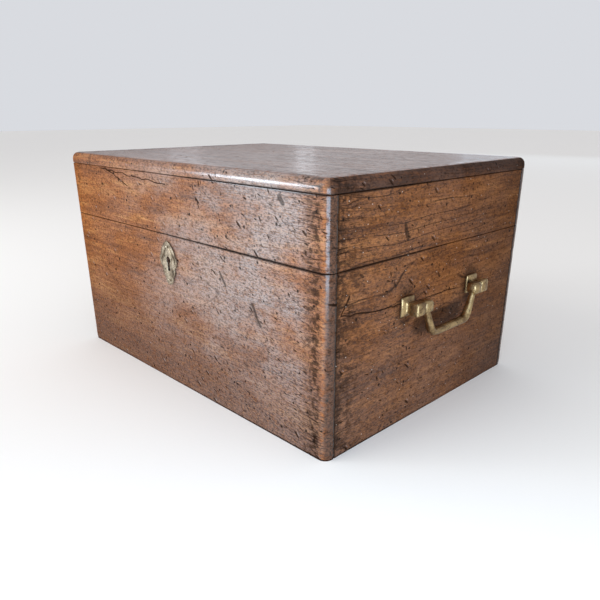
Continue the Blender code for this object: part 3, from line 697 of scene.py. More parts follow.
    def _colour(self) -> Value:
        """Lay wear, speckle, dirt, marks, painted shade and painted highlights over the wood, one after
        another.

        Returns:
            The colour.
        """
        shade, finish = self.shade, self.finish
        face, skin = (shade.x, self.end_skin) if finish.side is Side.END else (shade.y, self.front_skin)
        inner, outer = (skin - depth for depth in self.skin_fade)
        on_skin = 1.0 if finish.side is Side.TOP else abs(face).fade(inner, outer)
        rubbed = self.rim.fade(0.5 * MM, 8 * MM, 1.0, 0.0) * self.mottle.fade(0.42, 0.6)
        wear = self.near.fade(0.15, 0.8, 0.65, 1.0) * finish.speckle
        layers = [
            (rubbed * 0.75, finish.worn),
            (self.scurf.fade(0.53, 0.62) * wear, finish.soot),
            (self.grit.fade(0.53, 0.62) * wear, finish.soot),
            (self.grit.fade(0.46, 0.36, 0.0, 0.3), finish.pale),
            (self.pores * 0.35, finish.dirt),
            (self.flecks * 0.5, finish.dirt),
            (self._flaws(SMUDGES, finish.nick_share) * 0.45, finish.dirt),
            # Dirt, with painted shade along the seams and beside the upright corner.
            (self.grime_and_shade * 0.8, finish.dirt),
            (self.scratches.most(self.scuffs) * finish.scratched, finish.dirt),
            # Stains around the handle posts, partly a painted shadow of the handle.
            (self._strokes(finish.stains_and_shadows, self.stain_and_shadow_wander) * 0.6, finish.dirt),
            (self.marks * 0.88, finish.dirt),
            # Painted highlights at the edges of nicks.
            (on_skin * self._flaws(NICK_PAINTED_HIGHLIGHTS, finish.nick_share) * 0.6, finish.painted_sheen),
            # Bruises, and on the case front a painted shade inside the keyhole.
            (self.bruises_and_shade * 0.75, finish.dirt),
            (self.holes * 0.95, finish.dirt),
        ]
        if finish.dust_share:
            layers.append((on_skin * self._flaws(DUST, finish.dust_share) * 0.8, finish.dust))
        # Painted shade: darker towards the far edge of the end board.
        if finish.shade_far:
            layers.append((self.across.fade(-10 * MM, 120 * MM, 0.0, finish.shade_far), finish.dirt))
        if finish.side in (Side.FRONT, Side.BACK):
            layers.append((abs(shade.x).fade(*self.corner_turn), self._turned_grain()))
        colour = self._wood()
        for amount, over in layers:
            colour = shade.blend(amount, colour, over)
        return colour

    def _relief(self) -> Value:
        """Add up the height of the surface.

        Returns:
            The height in millimetres.
        """
        height = self.fibre * 0.05 + self.grit * 0.12 + self.mottle * 0.16 + self.cloud * 0.5
        height = height - self.pores * 0.06 - self.flecks * 0.06 - self.marks * 0.32 - self.holes * 0.7
        return height - self.scratches * 0.05 - self.scuffs * 0.04 - self.bruises_and_shade * 0.4

    def _polish(self) -> Value:
        """Lay the polish, thickest on the rims and under the painted sheen.

        Returns:
            The weight of the polish.
        """
        finish = self.finish
        whole = 1 - self.marks
        patchy = self.mottle.fade(0.62, 0.5, 0.35, 1.0) * whole
        if finish.side is Side.TOP:
            coat = self.rim.fade(6 * MM, 9 * MM, 1.0, 0.7) * patchy * self.streak.fade(0.4, 0.6, 0.45, 1.0)
            return coat * self.across.fade(-160 * MM, 50 * MM, 0.55, 1.0)
        bloom = self.painted_sheen * finish.bloom + self.near.fade(0.1, 0.7, 0.3, 1.0) * finish.coat
        return (self.rim.fade(3.5 * MM, 6.5 * MM, 1.0, 0.0) * patchy).most(bloom * whole)

    def material(self) -> bpy.types.Material:
        """Join colour, relief and polish.

        Returns:
            The material.
        """
        roughness = self.finish.roughness + (self.mottle - 0.5) * 0.24 + self.grime_and_shade * 0.15 + self.marks * 0.2
        return self.shade.surface(
            {
                "Base Color": self._colour(),
                "Roughness": roughness.most(self.finish.least_roughness),
                "Normal": self.shade.bump(self._relief()),
                "Coat Weight": self._polish(),
                "Coat Roughness": self.finish.gloss,
                "Specular IOR Level": self.finish.specular,
                "IOR": 1.5,
            }
        )


@dataclass(frozen=True)
class PlainWood:
    """Unpolished or waxed wood inside and under the caddy, with saw lines and dust."""

    name: str
    deep: Colour
    pale: Colour
    turn: Triple = (0.0, 0.0, 0.0)
    length: float = 40.0
    saw_lines: float = 0.0
    roughness: float = 0.6
    coat: float = 0.0

    def material(self) -> bpy.types.Material:
        """Build the finish.

        Returns:
            The material.
        """
        shade = Shade(self.name)
        figure = shade.noise(shade.cells((self.length * 2 * MM, 9 * MM, 9 * MM), self.turn), 4.0, 0.6, 0.7)
        fibre = shade.noise(shade.cells((self.length * MM, 0.9 * MM, 0.9 * MM), self.turn, 0.3), 3.0, 0.6)
        stain = shade.noise(shade.cells((0.05, 0.05, 0.05), shift=0.5), 3.0)
        pores = shade.spots(shade.cells((5 * MM, 1.1 * MM, 1.1 * MM), self.turn, 0.7), 0.3, 0.5)
        saw = abs((shade.x * 900 + fibre * 2).sine()).fade(0.0, 0.5, self.saw_lines, 0.0)
        colour = shade.blend(figure * 0.6 + fibre * 0.4, self.deep, self.pale)
        colour = shade.blend(stain.fade(0.5, 0.68, 0.0, 0.4), colour, self.deep)
        colour = shade.blend(pores * 0.5 + saw * 0.3, colour, tuple(part * 0.35 for part in self.deep))
        height = fibre * 0.08 - pores * 0.06 - saw * 0.12 + stain * 0.1
        return shade.surface(
            {
                "Base Color": colour,
                "Roughness": self.roughness + (stain - 0.5) * 0.25,
                "Normal": shade.bump(height),
                "Coat Weight": self.coat,
                "Coat Roughness": 0.3,
            }
        )


@dataclass(frozen=True)
class Veneer:
    """Polished veneer with crossbanding and a pale stringing line round its edge."""

    name: str
    deep: Colour
    pale: Colour
    centre: tuple[float, float]
    half_size: tuple[float, float]
    band: float = 7.0

    def material(self) -> bpy.types.Material:
        """Build the finish.

        Returns:
            The material.
        """
        shade = Shade(self.name)
        edge_x = self.half_size[0] - abs(shade.x - self.centre[0])
        edge_y = self.half_size[1] - abs(shade.y - self.centre[1])
        edge = edge_x.least(edge_y)
        figure = shade.noise(shade.cells((0.022, 0.07, 0.022), shift=0.2), 4.0, 0.6, 1.6)
        fibre = shade.noise(shade.cells((0.0012, 0.03, 0.0012), shift=0.4), 3.0, 0.6)
        crossed = shade.noise(shade.cells((0.02, 0.0012, 0.0012), shift=0.6), 3.0, 0.6)
        field = shade.blend(figure.fade(0.3, 0.7), self.deep, self.pale)
        field = shade.blend(fibre.fade(0.5, 0.7, 0.0, 0.35), field, self.deep)
        banding = shade.blend(crossed.fade(0.35, 0.65), self.deep, tuple(part * 0.5 for part in self.deep))
        line = edge.fade((self.band - 0.4) * MM, (self.band + 0.1) * MM)
        beyond = edge.fade((self.band + 0.8) * MM, (self.band + 1.1) * MM)
        colour = shade.blend(line, banding, paint(206, 180, 128))
        colour = shade.blend(beyond, colour, field)
        marks = shade.contours(shade.cells((0.08, 0.02, 0.05), (0.0, 0.0, 0.7), 0.9), 0.006)
        colour = shade.blend(marks * 0.4, colour, paint(40, 26, 18))
        return shade.surface(
            {
                "Base Color": colour,
                "Roughness": 0.34 + (figure - 0.5) * 0.2,
                "Normal": shade.bump(fibre * 0.03 - marks * 0.05),
                "Coat Weight": 0.4,
                "Coat Roughness": 0.2,
            }
        )


@dataclass(frozen=True)
class AgedMetal:
    """Cast or rolled metal, dulled in its hollows and rubbed bright where hands reach it."""

    name: str
    bright: Colour
    body: Colour
    tarnish: Colour
    dirt: float = 0.5
    roughness: float = 0.34
    grain: float = 1.6

    def material(self) -> bpy.types.Material:
        """Build the finish.

        Returns:
            The material.
        """
        shade = Shade(self.name)
        patch = shade.noise(shade.cells((0.007, 0.007, 0.007), shift=0.1), 4.0, 0.65)
        cast = shade.noise(shade.cells((self.grain * MM,) * 3, shift=0.3), 3.0, 0.6)
        specks = shade.spots(shade.cells((0.0022, 0.0022, 0.0022), shift=0.5), 0.22, 0.3)
        rub = shade.noise(shade.cells((0.0015, 0.009, 0.009), (0.4, 0.3, 0.2), 0.7), 2.0)
        colour = shade.blend(patch.fade(0.36, 0.62), self.body, self.bright)
        colour = shade.blend(cast.fade(0.52, 0.72, 0.0, self.dirt), colour, self.tarnish)
        colour = shade.blend(specks * self.dirt, colour, tuple(part * 0.4 for part in self.tarnish))
        roughness = self.roughness + cast.fade(0.45, 0.75, -0.06, 0.22) + (rub - 0.5) * 0.14
        return shade.surface(
            {
                "Base Color": colour,
                "Metallic": 1.0 - cast.fade(0.55, 0.75, 0.0, 0.35) * self.dirt,
                "Roughness": roughness,
                "Normal": shade.bump(patch * 0.25 + cast * 0.1 - specks * 0.08),
            }
        )


@dataclass(frozen=True)
class Velvet:
    """Faded silk velvet glued inside the lid."""

    name: str
    deep: Colour
    faded: Colour

    def material(self) -> bpy.types.Material:
        """Build the finish.

        Returns:
            The material.
        """
        shade = Shade(self.name)
        pile = shade.noise(shade.cells((0.0007, 0.0007, 0.0007)), 2.0)
        stroked = shade.noise(shade.cells((0.03, 0.012, 0.02), (0.0, 0.0, 0.5), 0.3), 3.0, 0.6, 0.3)
        stain = shade.noise(shade.cells((0.035, 0.035, 0.035), shift=0.8), 3.0)
        colour = shade.blend(stroked.fade(0.3, 0.7, 0.25, 0.7), self.deep, self.faded)
        colour = shade.blend(
            stain.fade(0.56, 0.72, 0.0, 0.25), colour, tuple(part * 0.45 for part in self.deep)
        )
        return shade.surface(
            {
                "Base Color": shade.blend(pile.fade(0.4, 0.65, 0.0, 0.45), colour, self.faded),
                "Roughness": 0.86 + (stroked - 0.5) * 0.2,
                "Normal": shade.bump(pile * 0.3 + stroked * 0.12),
                "Sheen Weight": 0.8,
                "Sheen Roughness": 0.4,
            }
        )


@dataclass(frozen=True)
class Foil:
    """Thin lead foil pressed over the inside of a canister."""

    name: str
    tone: Colour

    def material(self) -> bpy.types.Material:
        """Build the finish.

        Returns:
            The material.
        """
        shade = Shade(self.name)
        crease = shade.contours(shade.cells((0.03, 0.03, 0.02), shift=0.4), 0.02, 3.0)
        dull = shade.noise(shade.cells((0.018, 0.018, 0.018), shift=0.8), 4.0)
        colour = shade.blend(dull.fade(0.35, 0.65), self.tone, tuple(part * 0.7 for part in self.tone))
        return shade.surface(
            {
                "Base Color": colour,
                "Metallic": 0.6,
                "Roughness": 0.42 + dull * 0.25,
                "Normal": shade.bump(crease * 0.3 + dull * 0.3),
            }
        )


@dataclass(frozen=True)
class CutGlass:
    """Clear lead glass with a faint grey tint and fine wear on its rim."""

    name: str
    tint: Colour

    def material(self) -> bpy.types.Material:
        """Build the finish.

        Returns:
            The material.
        """
        shade = Shade(self.name)
        wear = shade.noise(shade.cells((0.004, 0.004, 0.004), shift=0.2), 3.0, 0.7)
        seeds = shade.spots(shade.cells((0.006, 0.006, 0.006), shift=0.6), 0.06, 0.2)
        colour = shade.blend(
            wear.fade(0.5, 0.7, 0.0, 0.25), self.tint, tuple(part * 0.82 for part in self.tint)
        )
        return shade.surface(
            {
                "Base Color": colour,
                "Roughness": 0.03 + wear.fade(0.5, 0.75, 0.0, 0.09),
                "Normal": shade.bump(seeds * 0.1 + wear * 0.02),
                "Transmission Weight": 1.0,
                "IOR": 1.54,
            }
        )


@dataclass(frozen=True)
class Felt:
    """Studio paper for the floor."""

    name: str
    tone: Colour

    def material(self) -> bpy.types.Material:
        """Build the finish.

        Returns:
            The material.
        """
        shade = Shade(self.name)
        tooth = shade.noise(shade.cells((0.002, 0.002, 0.002)), 3.0)
        colour = shade.blend(
            tooth.fade(0.3, 0.7, 0.0, 0.12), self.tone, tuple(part * 0.94 for part in self.tone)
        )
        return shade.surface({"Base Color": colour, "Roughness": 0.85, "Normal": shade.bump(tooth * 0.02)})


Finish = Walnut | PlainWood | Veneer | AgedMetal | Velvet | Foil | CutGlass | Felt


@cache
def dressed(finish: Finish) -> bpy.types.Material:
    """The material of a finish, built once."""
    return finish.material()


CAST_BRASS = AgedMetal("cast_brass", paint(184, 158, 114), paint(130, 106, 76), paint(60, 48, 40), 0.7, 0.42)
DULL_BRASS = AgedMetal("dull_brass", paint(168, 144, 88), paint(122, 100, 58), paint(52, 40, 26), 0.7, 0.4)
SHIELD_BRASS = AgedMetal(
    "shield_brass", paint(182, 168, 146), paint(122, 108, 90), paint(42, 34, 30), 0.8, 0.4, 1.1
)
OLD_STEEL = AgedMetal("old_steel", paint(150, 146, 140), paint(96, 90, 84), paint(60, 40, 28), 0.8, 0.42)
INNER_WALNUT = PlainWood("inner_walnut", paint(82, 50, 32), paint(128, 84, 54), coat=0.1)
UNDER_PINE = PlainWood("under_pine", paint(112, 78, 48), paint(168, 128, 84), saw_lines=0.6, roughness=0.78)
TURNED_WOOD = PlainWood(
    "turned_wood", paint(34, 22, 16), paint(66, 42, 28), (0.0, 0.5, 0.2), 20.0, 0.0, 0.3, 0.6
)
LEAD_FOIL = Foil("lead_foil", paint(190, 188, 182))
CLEAR_GLASS = CutGlass("clear_glass", paint(250, 253, 251))
LID_VELVET = Velvet("lid_velvet", paint(84, 28, 32), paint(112, 46, 44))
BRAID_SILK = Velvet("braid_silk", paint(120, 92, 46), paint(188, 156, 98))


# ---------------------------------------------------------------- shapes


def merged_copy(node: str) -> bmesh.types.BMesh:
    """Copy a CAD node's shape with its loose triangles joined into whole faces.

    Args:
        node: The CAD node.

    Returns:
        The copied shape.
    """
    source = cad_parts[node].data
    shape = bmesh.new()
    points = [shape.verts.new(vertex.co) for vertex in source.vertices]
    for face in source.polygons:
        shape.faces.new([points[index] for index in face.vertices])
    bmesh.ops.remove_doubles(shape, verts=shape.verts, dist=0.002 * MM)
    bmesh.ops.dissolve_limit(shape, angle_limit=math.radians(0.8), verts=shape.verts, edges=shape.edges)
    return shape


def soften(shape: bmesh.types.BMesh, width: float) -> None:
    """Round the sharp outward edges of a shape.

    Args:
        shape: The shape.
        width: Width of the rounding in metres.
    """
    limit = math.radians(SHARP_ANGLE)
    sharp = [
        edge
        for edge in shape.edges
        if len(edge.link_faces) == 2 and edge.is_convex and edge.calc_face_angle(0.0) > limit
    ]
    bmesh.ops.bevel(
        shape, geom=sharp, offset=width, offset_type="OFFSET", segments=2, profile=0.5, affect="EDGES",
        clamp_overlap=True,
    )


def slice_up(shape: bmesh.types.BMesh, axis: int, places: Sequence[float]) -> None:
    """Cut a shape's faces along planes, so that it can be bent finely.

    Args:
        shape: The shape.
        axis: The axis the planes stand across.
        places: Where they cut it, in metres.
    """
    normal = Vector((0.0, 0.0, 0.0))
    normal[axis] = 1.0
    for place in places:
        bmesh.ops.bisect_plane(
            shape, geom=shape.verts[:] + shape.edges[:] + shape.faces[:], plane_co=normal * place,
            plane_no=normal,
        )


def turned(
    profile: Sequence[tuple[float, float]], sides: int, centre: Vector, flute: Callable | None = None
) -> bmesh.types.BMesh:
    """Turn a closed profile about an upright axis.

    Args:
        profile: Radius and height pairs, from the axis at the bottom round to the axis at the top.
        sides: Facets round the axis.
        centre: Foot of the axis.
        flute: Gives a factor on the radius from the angle, radius and height.

    Returns:
        The turned shape.
    """
    shape = bmesh.new()
    rings = []
    for radius, height in profile:
        if radius < 1e-7:
            rings.append([shape.verts.new(centre + Vector((0.0, 0.0, height)))])
            continue
        ring = []
        for step in range(sides):
            angle = math.tau * step / sides
            reach = radius * (flute(angle, radius, height) if flute else 1.0)
            spoke = Vector((reach * math.cos(angle), reach * math.sin(angle), height))
            ring.append(shape.verts.new(centre + spoke))
        rings.append(ring)
    for lower, upper in zip(rings, rings[1:]):
        for step in range(sides):
            after = (step + 1) % sides
            corners = [
                lower[step % len(lower)], lower[after % len(lower)],
                upper[after % len(upper)], upper[step % len(upper)],
            ]
            unique = list(dict.fromkeys(corners))
            if len(unique) > 2:
                shape.faces.new(unique)
    bmesh.ops.recalc_face_normals(shape, faces=shape.faces)
    return shape


def rope(points: Sequence[Vector], radii: Sequence[float], sides: int = 8) -> bmesh.types.BMesh:
    """Run a round bar along points, closed at both ends.

    Args:
        points: The bar's centre line.
        radii: Its radius at each point.
        sides: Facets round it.

    Returns:
        The bar.
    """
    shape = bmesh.new()
    rings = []
    for index, (point, radius) in enumerate(zip(points, radii)):
        ahead = points[min(index + 1, len(points) - 1)] - points[max(index - 1, 0)]
        turn = ahead.to_track_quat("Z", "Y")
        ring = []
        for step in range(sides):
            angle = math.tau * step / sides
            spoke = Vector((radius * math.cos(angle), radius * math.sin(angle), 0.0))
            ring.append(shape.verts.new(point + turn @ spoke))
        rings.append(ring)
    for lower, upper in zip(rings, rings[1:]):
        for step in range(sides):
            after = (step + 1) % sides
            shape.faces.new((lower[step], lower[after], upper[after], upper[step]))
    shape.faces.new(list(reversed(rings[0])))
    shape.faces.new(rings[-1])
    bmesh.ops.recalc_face_normals(shape, faces=shape.faces)
    return shape


def joined(shapes: Sequence[bmesh.types.BMesh]) -> bmesh.types.BMesh:
    """Gather several shapes into one.

    Args:
        shapes: The shapes, which are used up.

    Returns:
        The whole.
    """
    whole = bmesh.new()
    for shape in shapes:
        part = bpy.data.meshes.new("part")
        shape.to_mesh(part)
        shape.free()
        whole.from_mesh(part)
        bpy.data.meshes.remove(part)
    return whole


def smooth_loop(points: Sequence[tuple[float, float]], steps: int) -> list[tuple[float, float]]:
    """Draw a smooth closed curve through points.

    Args:
        points: The points, once round.
        steps: Points added for each given one.

    Returns:
        The smooth outline.
    """
    count = len(points)
    outline = []
    for index in range(count):
        before, start, end, after = (Vector(points[(index + shift) % count]) for shift in (-1, 0, 1, 2))
        for step in range(steps):
            t = step / steps
            place = 0.5 * (
                2 * start + (end - before) * t + (2 * before - 5 * start + 4 * end - after) * t * t
                + (3 * start - before - 3 * end + after) * t * t * t
            )
            outline.append((place.x, place.y))
    return outline


@dataclass
class Worker:
    """Turns finished shapes into pieces of the caddy."""

    count: int = 0

    def settle(
        self, shape: bmesh.types.BMesh | bpy.types.Mesh, name: str, body: str, finishes: Sequence[Finish],
        slot: str, nodes: Sequence[str] = (), smooth_angle: float = 38.0,
    ) -> bpy.types.Object:
        """Make a piece from a shape.

        Args:
            shape: The shape, which is used up.
            name: The piece's name.
            body: The body that it moves with.
            finishes: Its finishes, by material number.
            slot: The material slot that it would take its finish from; not used.
            nodes: The CAD nodes that it stands for.
            smooth_angle: Edges sharper than this, in degrees, stay sharp.

        Returns:
            The piece.
        """
        if isinstance(shape, bpy.types.Mesh):
            mesh = shape
            mesh.name = name
        else:
            mesh = bpy.data.meshes.new(name)
            shape.to_mesh(mesh)
            shape.free()
        for finish in finishes[len(mesh.materials):]:
            mesh.materials.append(dressed(finish))
        mesh.shade_smooth()
        mesh.set_sharp_from_angle(angle=math.radians(smooth_angle))
        piece = bpy.data.objects.new(name, mesh)
        bpy.context.scene.collection.objects.link(piece)
        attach(piece, body)
        if nodes:
            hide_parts(*nodes)
        self.count += 1
        log.info("%s: %d faces, rides on %s", name, len(mesh.polygons), body)
        return piece

    def redress(self, node: str, finish: Finish) -> None:
        """Give a CAD node that keeps its shape a better finish.

        Args:
            node: The node's name.
            finish: The finish.
        """
        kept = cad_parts[node]
        if not kept.material_slots:
            kept.data.materials.append(dressed(finish))
        for place in kept.material_slots:
            place.material = dressed(finish)
        log.info("%s: kept, finished in %s", node, finish.name)

    def softened(
        self, node: str, body: str, finish: Finish, slot: str, width: float, angle: float = 38.0
    ) -> None:
        """Replace a CAD node by a copy with rounded edges.

        Args:
            node: The node's name.
            body: The body it moves with.
            finish: Its finish.
            slot: Its material slot.
            width: Width of the rounding in metres.
            angle: Edges flatter than this, in degrees, are shaded smooth.
        """
        shape = merged_copy(node)
        soften(shape, width)
        self.settle(shape, f"{node}_finished", body, (finish,), slot, (node,), angle)


class BeadRun:
    """Beads, nail heads or cord strands set along a closed path."""

    def __init__(self) -> None:
        """Build the node tree once."""
        self.tree = bpy.data.node_groups.new("bead_run", "GeometryNodeTree")
        graph = Graph(self.tree)
        self.keys: dict[str, str] = {}
        kinds = {
            "Path": "NodeSocketGeometry",
            "Bead count": "NodeSocketInt",
            "Bead radius": "NodeSocketFloat",
            "Bead shape": "NodeSocketVector",
            "Bead slant": "NodeSocketVector",
            "Least size": "NodeSocketFloat",
            "Finish": "NodeSocketMaterial",
        }
        for name, kind in kinds.items():
            item = self.tree.interface.new_socket(name=name, in_out="INPUT", socket_type=kind)
            self.keys[name] = item.identifier
        self.tree.interface.new_socket(name="Beads", in_out="OUTPUT", socket_type="NodeSocketGeometry")
        start = graph.node("NodeGroupInput").socket.node
        given = {name: Value(graph, start.outputs[name]) for name in kinds}
        curve = graph.node("GeometryNodeMeshToCurve", inputs={0: given["Path"]})
        points = graph.node(
            "GeometryNodeResampleCurve", {"mode": "COUNT"}, {"Curve": curve, "Count": given["Bead count"]}
        )
        bead = graph.node(
            "GeometryNodeMeshUVSphere", inputs={"Segments": 8, "Rings": 5, "Radius": given["Bead radius"]}
        )
        tangent = graph.node("GeometryNodeInputTangent")
        facing = graph.node("FunctionNodeAlignRotationToVector", {"axis": "X"}, {"Vector": tangent})
        slant = graph.node("FunctionNodeEulerToRotation", inputs={0: given["Bead slant"]})
        turned_bead = graph.node(
            "FunctionNodeRotateRotation", {"rotation_space": "LOCAL"},
            {"Rotation": facing, "Rotate By": slant},
        )
        spread = graph.node(
            "FunctionNodeRandomValue", {"data_type": "FLOAT"},
            {2: given["Least size"], 3: 1.0, "Seed": SEED}, output=1,
        )
        size = graph.node(
            "ShaderNodeVectorMath", {"operation": "SCALE"}, {0: given["Bead shape"], "Scale": spread}
        )
        placed = graph.node(
            "GeometryNodeInstanceOnPoints",
            inputs={"Points": points, "Instance": bead, "Rotation": turned_bead, "Scale": size},
        )
        real = graph.node("GeometryNodeRealizeInstances", inputs={0: placed})
        coloured = graph.node(
            "GeometryNodeSetMaterial", inputs={"Geometry": real, "Material": given["Finish"]}
        )
        graph.node("NodeGroupOutput", inputs={0: coloured})

    def along(
        self, path: Sequence[Vector], count: int, radius: float, shape: Triple, slant: Triple, least: float,
        finish: Finish,
    ) -> bpy.types.Mesh:
        """Set beads along a closed path.

        Args:
            path: The path's points, once round.
            count: How many beads.
            radius: Bead radius in metres.
            shape: Stretch along the path, across it and upwards.
            slant: Turn of each bead about its own axes.
            least: The smallest bead against the largest.
            finish: The beads' finish.

        Returns:
            The beads as a plain mesh.
        """
        line = bpy.data.meshes.new("bead_path")
        edges = [(index, (index + 1) % len(path)) for index in range(len(path))]
        line.from_pydata([tuple(point) for point in path], edges, [])
        holder = bpy.data.objects.new("bead_path", line)
        bpy.context.scene.collection.objects.link(holder)
        run = holder.modifiers.new("beads", "NODES")
        run.node_group = self.tree
        sizes = {"Bead count": count, "Bead radius": radius, "Bead shape": shape, "Bead slant": slant,
                 "Least size": least, "Finish": dressed(finish)}
        for name, value in sizes.items():
            run[self.keys[name]] = value
        made = bpy.data.meshes.new_from_object(holder.evaluated_get(bpy.context.evaluated_depsgraph_get()))
        bpy.data.objects.remove(holder)
        return made


def ring_path(
    low: Sequence[float], high: Sequence[float], inset: float, height: float, corner: float
) -> list[Vector]:
    """A level rectangle with round corners.

    Args:
        low: Lowest x and y.
        high: Highest x and y.
        inset: Distance in from the rectangle.
        height: Its height.
        corner: Corner radius.

    Returns:
        Points once round.
    """
    points = []
    steps = 5
    centres = (
        (high[0] - inset - corner, high[1] - inset - corner, 0.0),
        (low[0] + inset + corner, high[1] - inset - corner, RIGHT_ANGLE),
        (low[0] + inset + corner, low[1] + inset + corner, math.pi),
        (high[0] - inset - corner, low[1] + inset + corner, math.pi + RIGHT_ANGLE),
    )
    for x, y, start in centres:
        for step in range(steps + 1):
            angle = start + RIGHT_ANGLE * step / steps
            points.append(Vector((x + corner * math.cos(angle), y + corner * math.sin(angle), height)))
    return points


# ---------------------------------------------------------------- case and lid


@dataclass
class Boards:
    """The outer boards of the case and the lid, worn by handling."""

    worker: Worker
    half_width: float = 168 * MM
    half_depth: float = 120.5 * MM
    corner: float = 6.5 * MM
    grid: float = 5.5 * MM
    waviness: float = 0.22 * MM
    dents: float = 0.4 * MM
    arris: float = 0.45 * MM
    margin: float = 0.9 * MM
    skin: float = 0.7 * MM
    top_skin: float = 182 * MM
    top_under: float = 180 * MM
    inner_half_width: float = 159.7 * MM
    inner_half_depth: float = 112.2 * MM
    wave_scale: float = 28.0
    dent_scale: float = 85.0
    dent_slide: Triple = (3.1, 1.7, 5.3)
    dent_floor: float = 0.35
    foot_scale: float = 55.0
    foot_steps: tuple[float, ...] = (0.12, 0.3, 0.55, 1.0)
    thin: float = 12 * MM
    rim_tilt: float = 0.93
    foot_wear: float = 1.1 * MM
    foot_height: float = 3.2 * MM

    def _depth(self, point: Vector) -> float:
        """How far a point lies under the upright outer faces.

        Args:
            point: The point.

        Returns:
            The depth in metres.
        """
        over_x = max(abs(point.x) - self.half_width + self.corner, 0.0)
        over_y = max(abs(point.y) - self.half_depth + self.corner, 0.0)
        return self.corner - math.hypot(over_x, over_y)

    def _wear(self, shape: bmesh.types.BMesh, top: bool, foot: bool) -> None:
        """Press an outer skin in with waves, dents and a worn foot.

        Args:
            shape: The board.
            top: Whether it is the top of the lid.
            foot: Whether it stands on the table.
        """
        shape.normal_update()
        moves = []
        for vertex in shape.verts:
            place = vertex.co
            outer = self._depth(place) < self.skin or (top and place.z > self.top_skin)
            if not outer:
                continue
            wave = 0.5 + 0.5 * noise.noise(place * self.wave_scale)
            dent = max(noise.noise(place * self.dent_scale + Vector(self.dent_slide)) - self.dent_floor, 0.0)
            press = self.waviness * wave + self.dents * dent
            if foot and place.z < self.foot_height:
                worn = 1 - place.z / self.foot_height
                press += self.foot_wear * worn * worn * (0.75 + 0.5 * noise.noise(place * self.foot_scale))
            outward = Vector((vertex.normal.x, vertex.normal.y, vertex.normal.z if top else 0.0))
            moves.append((vertex, outward * press))
        for vertex, move in moves:
            vertex.co -= move

    def board(
        self, node: str, body: str, finish: Walnut, slot: str, top: bool = False, foot: bool = False,
        rims: tuple[Walnut, ...] = (),
    ) -> None:
        """Make one board.

        Args:
            node: The CAD node that it stands for.
            body: The body that it moves with.
            finish: The finish of its show face.
            slot: Its material slot.
            top: Whether it is the lid's top board.
            foot: Whether its lower edge is worn round.
            rims: The finishes of its front and end rims, on the top board.
        """
        shape = merged_copy(node)
        soften(shape, self.arris)
        low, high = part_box(node)
        for axis in range(3):
            if high[axis] - low[axis] < self.thin:
                continue
            steps = round((high[axis] - low[axis]) / self.grid)
            span = (high[axis] - low[axis]) / steps
            slice_up(shape, axis, [low[axis] + span * step for step in range(1, steps)])
            slice_up(shape, axis, [low[axis] + self.margin, high[axis] - self.margin])
        if foot:
            slice_up(shape, 2, [part * self.foot_height for part in self.foot_steps])
        self._wear(shape, top, foot)
        shape.normal_update()
        for face in shape.faces:
            middle = face.calc_center_median()
            inside = abs(middle.x) < self.inner_half_width and abs(middle.y) < self.inner_half_depth
            face.material_index = int(inside and not (top and middle.z > self.top_under))
            if rims and face.normal.z < self.rim_tilt and not inside:
                face.material_index = 3 if abs(face.normal.x) > abs(face.normal.y) else 2
        self.worker.settle(shape, f"{node}_worn", body, (finish, INNER_WALNUT, *rims), slot, (node,), 42.0)

    def build(self) -> None:
        """Make every outer board."""
        front = {
            "side": Side.FRONT, "deep": paint(100, 55, 26),
            "middle": paint(153, 90, 44), "pale": paint(192, 132, 76),
            "painted_sheen": paint(158, 149, 145), "painted_sheen_amount": 0.78, "half": self.half_width, "coat": 0.16,
            "dusk": 0.74, "speckle": 0.6,
        }
        end = {
            "side": Side.END, "half": self.half_depth, "deep": paint(80, 44, 20), "middle": paint(134, 79, 36),
            "pale": paint(174, 112, 60), "painted_sheen": paint(146, 126, 118), "painted_sheen_amount": 0.15,
            "figure_lines": 0.9, "shade_far": 0.42, "dusk": 0.4, "coat": 0.14, "scratched": 0.1,
            "speckle": 0.55, "nick_share": 0.045, "hole_share": 0.4, "dust_share": 0.3,
        }
        case_span = {"low": 0.0, "high": 130 * MM}
        lid_span = {"low": 130.5 * MM, "high": 176.5 * MM}
        end_crack = (
            Stroke((-108.1, 101.7), (-80.7, 98.1), 0.8), Stroke((-80.7, 98.1), (-20.1, 93.5), 0.7),
            Stroke((-20.1, 93.5), (25.2, 93.0), 0.5), Stroke((-100.1, 113.0), (-108.1, 101.7), 0.9),
        )
        lid_crack = (
            Stroke((-109, 175.5), (-82, 173.4), 0.7), Stroke((-82, 173.4), (-4, 168.9), 0.55),
            Stroke((-100, 176), (-64, 163.2), 0.6),
        )
        case_front = Walnut(
            "case_front_walnut", **front, **case_span,
            # The first stroke is painted shade inside the keyhole; the others are bruises.
            bruises_and_shade=(Stroke((-7, 110), (-7, 101.5), 4.2), Stroke((60, 112), (66, 104), 1.6),
                     Stroke((96, 96), (104, 82), 1.8)),
        )
        rim_span = {"low": 176.8 * MM, "high": 230 * MM}
        rim_front = Walnut("rim_front_walnut", **{**front, "dusk": 0.0, "coat": 1.0}, **rim_span, gloss=0.24)
